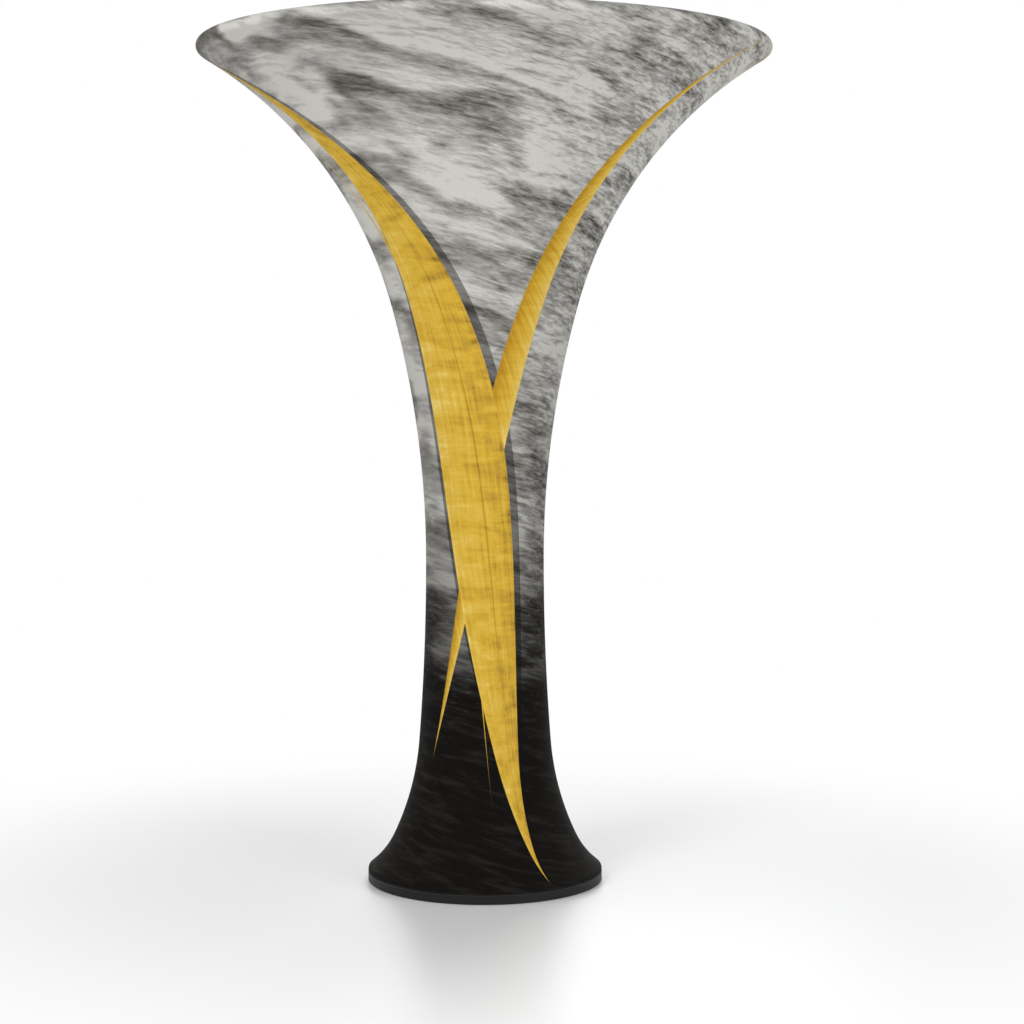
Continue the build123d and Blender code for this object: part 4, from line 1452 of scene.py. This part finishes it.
    def slider(self) -> bpy.types.Object:
        """Model the slider: two plates, a bridge between them, two lugs and their pin."""
        seat = OUTLINE.station(90.0, self.rest, 0.0)
        half = self.plate_size[1] / 2
        parts = []
        for height in (self.plate_out, -self.plate_in - self.plate):
            block = self.plate_block("slider_plate", (*self.plate_size, self.plate), 0.0042, 0.0006)
            for vertex in block.data.vertices:
                vertex.co.x *= 1.0 - self.nose_taper * max(0.0, -vertex.co.y / half)
            parts.append(Bench.stand(block, seat @ Matrix.Translation((0, 0, height))))
        bridge = self.plate_block("slider_bridge", (0.0008, 0.005, self.plate_in + self.plate_out),
                                  0.0003, 0.00005)
        parts.append(Bench.stand(bridge, seat @ Matrix.Translation((0, 0.0065, -self.plate_in))))
        pin = self.pin_stand()
        across = Matrix.Rotation(math.pi / 2, 4, "Y")
        upright = Matrix.Rotation(math.pi / 2, 4, "X") @ across
        rise = pin + self.lug_top - self.plate_out - self.lug_foot
        middle = (pin + self.lug_top + self.plate_out + self.lug_foot) / 2
        for side in (-1, 1):
            lug = self.plate_block("slider_lug", (self.lug_width, rise, self.lug_wall), 0.0017,
                                   0.0003)
            shift = (side * self.lug_aside - self.lug_wall / 2, 0, middle)
            parts.append(Bench.stand(lug, seat @ Matrix.Translation(shift) @ upright))
        Bench.clear_choice()
        bpy.ops.mesh.primitive_cylinder_add(vertices=16, radius=self.pin_radius,
                                            depth=self.pin_length)
        rod = Bench.settle(bpy.context.active_object, "slider_pin")
        parts.append(Bench.stand(rod, seat @ Matrix.Translation((0, 0, pin)) @ across))
        body = Bench.join(parts, "slider_body")
        Bench.smooth(body, 40.0)
        return body

    def pull(self) -> bpy.types.Object:
        """Model the pull: an eye round the pin and a round-cornered tab with a grip hole."""
        seat = OUTLINE.station(90.0, self.rest, 0.0)
        pin = self.pin_stand()
        Bench.clear_choice()
        bpy.ops.mesh.primitive_torus_add(major_segments=20, minor_segments=8,
                                         major_radius=self.eye_radius, minor_radius=self.eye_wire)
        eye = bpy.context.active_object
        bpy.ops.object.mode_set(mode="EDIT")
        bpy.ops.mesh.select_all(action="SELECT")
        bpy.ops.transform.resize(value=(1.0, 1.0, 5.6), center_override=(0, 0, 0))
        bpy.ops.object.mode_set(mode="OBJECT")
        eye = Bench.stand(Bench.settle(eye, "pull_eye"), seat @ Matrix.Translation((0, 0, pin))
                          @ Matrix.Rotation(math.pi / 2, 4, "Y"))
        tab = self.plate_block("pull_tab", self.pull_size, 0.0022, 0.0004)
        Bench.choose(tab)
        bpy.ops.mesh.primitive_cylinder_add(vertices=24, radius=self.grip_hole, depth=0.006,
                                            location=(0, -0.0098, 0))
        Bench.cut(tab, Bench.settle(bpy.context.active_object, "pull_hole"))
        down = Matrix.Translation((0, -self.pull_back, pin - self.pull_size[2] / 2))
        pull = Bench.join([eye, Bench.stand(tab, seat @ down)], "pull_tab_and_eye")
        Bench.smooth(pull, 40.0)
        return pull

    def stops(self) -> bpy.types.Object:
        """Model the blocks that end the zip below and above."""
        blocks = []
        for word, slope, size in (("bottom", self.low + 0.16, (0.0072, 0.0052, 0.0034)),
                                  ("top", self.high - 0.08, (0.0064, 0.0030, 0.0034))):
            block = self.plate_block(f"zip_stop_{word}", size, 0.0009, 0.0004)
            seat = OUTLINE.station(90.0, slope, 0.0) @ Matrix.Translation((0, 0, -0.0027))
            blocks.append(Bench.stand(block, seat))
        pair = Bench.join(blocks, "zip_stops")
        Bench.smooth(pair, 40.0)
        return pair

    def trim(self, cover: CoverCloth, finishes: "Finishes") -> list[bpy.types.Object]:
        """Make the flap under the zip and the tab above it.

        Args:
            cover: The cover, which lays the print.
            finishes: The materials.

        Returns:
            Flap and tab.
        """
        flap_line = OUTLINE.cloth(self.low - 0.05, False)
        tab_line = OUTLINE.run(self.high + 0.15, 59.4, 0.0, 0.02)
        tab_line += [OUTLINE.rim_point(a, OUTLINE.rim_radius) for a in range(-54, 141, 8)]
        pieces = []
        for name, line, held_by in (("hem_flap_cloth", flap_line, "hem_ring_1"),
                                    ("rim_tab", tab_line, "top_ring_1")):
            piece = self.strip(name, self.trim_columns, line, self.trim_wall)
            Bench.dress(piece, finishes.print_cloth)
            cover.lay_print(piece, 1)
            pieces.append(piece)
        return pieces

    def build(self, cover: CoverCloth, finishes: "Finishes") -> list[bpy.types.Object]:
        """Build the closure.

        Args:
            cover: The cover, which lays the print on flap and tab.
            finishes: The materials.

        Returns:
            The pieces.
        """
        line = OUTLINE.run(self.low, self.high, self.tape_inset, 0.03)
        pieces = []
        for side, word in ((1, "right"), (-1, "left")):
            columns = [side * x for x in (self.tape_inner, 0.0045, 0.0070, self.tape_outer)]
            tape = self.strip(f"zip_web_{word}", columns, line, self.tape_wall)
            Bench.dress(tape, finishes.zip_web)
            fit(tape, "tower", f"zip_tape_{word}")
            coil = self.coil(side, f"zip_coil_turns_{word}")
            Bench.dress(coil, finishes.coil)
            fit(coil, "tower", f"zip_coil_{word}")
            pieces += [tape, coil]
        flap, tab = self.trim(cover, finishes)
        fit(flap, "tower", "hem_flap")
        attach(tab, "tower")
        slider, pull, stops = self.slider(), self.pull(), self.stops()
        for piece in (slider, pull, stops):
            Bench.dress(piece, finishes.zip_metal)
        fit(slider, "zip_slider", "zip_slider")
        fit(pull, "zip_pull", "zip_pull")
        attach(stops, "tower")
        return pieces + [flap, tab, slider, pull, stops]


# --------------------------------------------------------------------------- frame and base


@dataclass
class FrameAndBase:
    """The carried-over tubes, fittings and trays, and the screws modelled in detail."""

    head_radius: float = 0.0055
    head_height: float = 0.0040
    head_gap: float = 0.00005
    key_radius: float = 0.0021
    key_depth: float = 0.0044
    shank_radius: float = 0.0030
    hoops: tuple[float, ...] = (-4.0, 0.0, 14.0, 38.0)
    split_hoops: tuple[float, ...] = (14.0, 38.0)
    ribs: tuple[float, ...] = (45.0, 135.0, 225.0, 315.0)
    ring_joints: tuple[float, ...] = (0.0, 90.0, 180.0, 270.0)
    rib_inset: float = 0.0426
    hoop_inset: float = 0.0148
    hoop_radius: float = 0.0125
    rib_radius: float = 0.0150
    tube_radius: float = 0.0225
    saddle: float = 0.02655
    saddle_half: float = 0.032
    saddle_edge: float = 0.0065
    hoop_joint: float = 0.025
    ring_joint: float = 0.040
    ring_side: float = 225.0

    def screw(self, length: float) -> bpy.types.Object:
        """Model a button-head screw with a hexagon socket, its head under z = 0.

        Args:
            length: The shank's length.

        Returns:
            The screw, with its shank along +z.
        """
        Bench.clear_choice()
        bpy.ops.mesh.primitive_cylinder_add(vertices=24, radius=self.head_radius,
                                            depth=self.head_height,
                                            location=(0, 0, -self.head_height / 2))
        head = Bench.settle(bpy.context.active_object, "screw")
        top = -self.head_height * 0.9
        Bench.bevel(head, lambda first, second: max(first.z, second.z) < top,
                    self.head_height * 0.55, 4)
        bpy.ops.mesh.primitive_cylinder_add(vertices=6, radius=self.key_radius,
                                            depth=self.key_depth,
                                            location=(0, 0, -self.head_height))
        Bench.cut(head, Bench.settle(bpy.context.active_object, "key"))
        bpy.ops.mesh.primitive_cylinder_add(vertices=12, radius=self.shank_radius, depth=length,
                                            location=(0, 0, length / 2))
        return Bench.join([head, Bench.settle(bpy.context.active_object, "shank")], "screw")

    def screw_places(self) -> dict[float, list[Matrix]]:
        """Return the frame screws' places by their length."""
        lift = Matrix.Translation((0, 0, -self.head_gap))
        clamp, socket, hoop, saddle, joint = 0.0343, 0.013, 0.0105, 0.008, 0.007
        found: dict[float, list[Matrix]] = {clamp: [], socket: [], hoop: [], saddle: [], joint: []}
        under_rib = Matrix.Translation((0, 0, -self.rib_radius)) @ lift
        under_hoop = Matrix.Translation((0, 0, -self.hoop_radius)) @ lift
        rim = OUTLINE.rim_centre()[0]
        turn = math.degrees((self.saddle_half - self.saddle_edge) / rim)
        for azimuth in self.ribs:
            found[socket].append(OUTLINE.station(azimuth, -25.5, self.rib_inset, 0.070) @ under_rib)
            for slope in self.hoops:
                found[clamp].append(OUTLINE.station(azimuth, slope, self.rib_inset) @ under_rib)
            for side in (-turn, turn):
                seat = OUTLINE.rim_station(azimuth + side, self.ring_side, self.saddle)
                found[saddle].append(seat @ lift)
        for slope in self.split_hoops:
            step = math.degrees(self.hoop_joint / OUTLINE.point(slope, self.hoop_inset)[0])
            for middle in (0.0, 180.0):
                for side in (-step, step):
                    seat = OUTLINE.station(middle + side, slope, self.hoop_inset)
                    found[hoop].append(seat @ under_hoop)
        step = math.degrees(self.ring_joint / rim)
        for middle in self.ring_joints:
            for side in (-step, step):
                seat = OUTLINE.rim_station(middle + side, self.ring_side, self.tube_radius)
                found[joint].append(seat @ lift)
        return found

    def dress_nodes(self, finishes: "Finishes") -> None:
        """Give the carried-over nodes their materials, by the start of their names."""
        dressed = {
            ("base_plate",): finishes.powder,
            ("base_", "snap_", "frame_screws"): finishes.steel,
            ("rubber_feet",): finishes.rubber,
            ("rib_socket",): finishes.casting,
            ("hoop_clamps",): finishes.nylon,
            ("hem_ring", "rib_", "knee_hoop", "waist_hoop", "shoulder_hoop", "neck_hoop",
             "hoop_joiners", "top_ring"): finishes.tube,
        }
        for node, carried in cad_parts.items():
            finish = next((made for starts, made in dressed.items() if node.startswith(starts)),
                          None)
            if finish is None:
                continue
            if not carried.material_slots:
                carried.data.materials.append(finish)
            for slot in carried.material_slots:
                slot.material = finish

    def build(self, finishes: "Finishes") -> list[bpy.types.Object]:
        """Dress the carried-over pieces and build the screws.

        Args:
            finishes: The materials.

        Returns:
            The screws.
        """
        self.dress_nodes(finishes)
        groups = [Bench.scatter(self.screw(length), places, f"screws_{int(length * 1e4)}")
                  for length, places in self.screw_places().items()]
        screws = Bench.join(groups, "socket_screws")
        Bench.dress(screws, finishes.black_steel)
        fit(screws, "tower", "frame_screws")
        return [screws]


# --------------------------------------------------------------------------- studio


@dataclass(frozen=True)
class Lamp:
    """A soft square lamp: where it hangs, its side and its power in watts."""

    name: str
    place: tuple[float, float, float]
    size: float
    power: float

    def hang(self, aim: Vector) -> None:
        """Hang the lamp, facing a place."""
        light = bpy.data.lights.new(self.name, "AREA")
        light.shape = "SQUARE"
        light.size = self.size
        light.energy = self.power
        stand = bpy.data.objects.new(self.name, light)
        stand.location = self.place
        stand.rotation_mode = "QUATERNION"
        stand.rotation_quaternion = (aim - Vector(self.place)).to_track_quat("-Z", "Y")
        bpy.context.scene.collection.objects.link(stand)


@dataclass
class Studio:
    """Camera, floor, room light and lamps."""

    lens: float = 76.76
    eye: tuple[float, float, float] = (0.1175, -9.443, 2.193)
    tilt: float = 86.42
    floor_side: float = 60.0
    aim: tuple[float, float, float] = (0.0, 0.0, 1.9)
    room_colour: Colour = (0.95, 0.97, 1.0)
    room_light: float = 0.45
    lamps: tuple[Lamp, ...] = (
        Lamp("key", (-5.0, -7.5, 6.0), 4.0, 440.0),
        Lamp("fill", (6.5, -6.0, 3.2), 4.0, 220.0),
        Lamp("behind", (1.0, 7.5, 5.5), 4.0, 280.0),
    )

    def camera(self) -> None:
        """Set the camera at the photograph's place."""
        lens = bpy.data.cameras.new("camera")
        lens.sensor_width = 36.0
        lens.lens = self.lens
        lens.clip_end = 200.0
        stand = bpy.data.objects.new("camera", lens)
        stand.location = self.eye
        stand.rotation_euler = (math.radians(self.tilt), 0.0, 0.0)
        bpy.context.scene.collection.objects.link(stand)
        bpy.context.scene.camera = stand

    def floor(self) -> None:
        """Lay a wide pale floor."""
        Bench.clear_choice()
        bpy.ops.mesh.primitive_plane_add(size=self.floor_side, location=(0, 0, 0))
        ground = Bench.settle(bpy.context.active_object, "studio_ground")
        Bench.dress(ground, StudioFloor().material())

    def sky(self) -> None:
        """Light the room evenly, and show camera, metal and glass a white background."""
        tree = FinishTree("room", bpy.data.worlds.new("room"))
        bpy.context.scene.world = tree.owner
        rays = tree.node("ShaderNodeLightPath", {}, {})
        camera, gloss, glass = (Signal(tree, rays.outputs[f"Is {kind} Ray"])
                                for kind in ("Camera", "Glossy", "Transmission"))
        room = tree.node("ShaderNodeBackground", {},
                         {"Color": self.room_colour, "Strength": self.room_light})
        white = tree.node("ShaderNodeBackground", {}, {"Color": WHITE, "Strength": 1.0})
        mix = tree.node("ShaderNodeMixShader", {}, {
            0: camera.at_least(gloss).at_least(glass), 1: room.outputs[0], 2: white.outputs[0],
        })
        tree.node("ShaderNodeOutputWorld", {}, {"Surface": mix.outputs[0]})

    def build(self) -> None:
        """Build the studio."""
        self.camera()
        self.floor()
        self.sky()
        for lamp in self.lamps:
            lamp.hang(Vector(self.aim))
        bpy.context.scene.view_settings.view_transform = "Standard"
        log.info("studio: floor, room light and %d lamps", len(self.lamps))


def made_of(finish: Any) -> Any:
    """Return a dataclass field that makes a finish's material."""
    return field(default_factory=finish.material)


@dataclass
class Finishes:
    """Every material, made once."""

    print_cloth: bpy.types.Material = made_of(PrintedKnit())
    knit_back: bpy.types.Material = made_of(KnitBack())
    dark_tape: bpy.types.Material = made_of(
        WovenTape("hem_tape", linear(24, 24, 25), linear(58, 58, 60)))
    zip_web: bpy.types.Material = made_of(
        WovenTape("zip_web", linear(44, 43, 42), linear(80, 79, 77)))
    powder: bpy.types.Material = made_of(
        PowderCoat("powder_black", linear(14, 14, 15), linear(36, 36, 38), shine=0.22))
    casting: bpy.types.Material = made_of(
        PowderCoat("cast_black", linear(36, 36, 38), linear(84, 84, 86), 0.5, 500.0))
    tube: bpy.types.Material = made_of(DrawnAluminium())
    steel: bpy.types.Material = made_of(Steel())
    black_steel: bpy.types.Material = made_of(
        Steel("black_oxide", (0.09, 0.09, 0.095), (0.16, 0.16, 0.165)))
    zip_metal: bpy.types.Material = made_of(
        PowderCoat("zip_lacquer", linear(58, 58, 60), linear(128, 128, 130), 0.3, 3000.0))
    nylon: bpy.types.Material = made_of(
        Moulded("nylon_black", linear(34, 34, 35), linear(66, 66, 68)))
    coil: bpy.types.Material = made_of(
        Moulded("coil_filament", linear(60, 59, 58), linear(96, 95, 93), 0.32, 2500.0))
    rubber: bpy.types.Material = made_of(
        Moulded("foot_rubber", linear(28, 28, 28), linear(56, 55, 54), 0.72))
    grey_thread: bpy.types.Material = made_of(
        SewingThread("grey_thread", linear(150, 148, 143), linear(196, 194, 188)))
    dark_thread: bpy.types.Material = made_of(
        SewingThread("dark_thread", linear(30, 29, 28), linear(66, 64, 62)))


def main() -> None:
    """Build the studio, the cover, the closure and the frame."""
    logging.basicConfig(level=logging.INFO, format="%(message)s")
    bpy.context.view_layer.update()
    Studio().build()
    finishes = Finishes()
    cover = CoverCloth()
    built = {
        "cover": cover.build(finishes),
        "back closure": BackClosure().build(cover, finishes),
        "frame and base": FrameAndBase().build(finishes),
    }
    for group, pieces in built.items():
        for piece in pieces:
            log.info("%s: %s, %d faces", group, piece.name, len(piece.data.polygons))
    Bench.clear_choice()


if __name__ == "__main__":
    main()
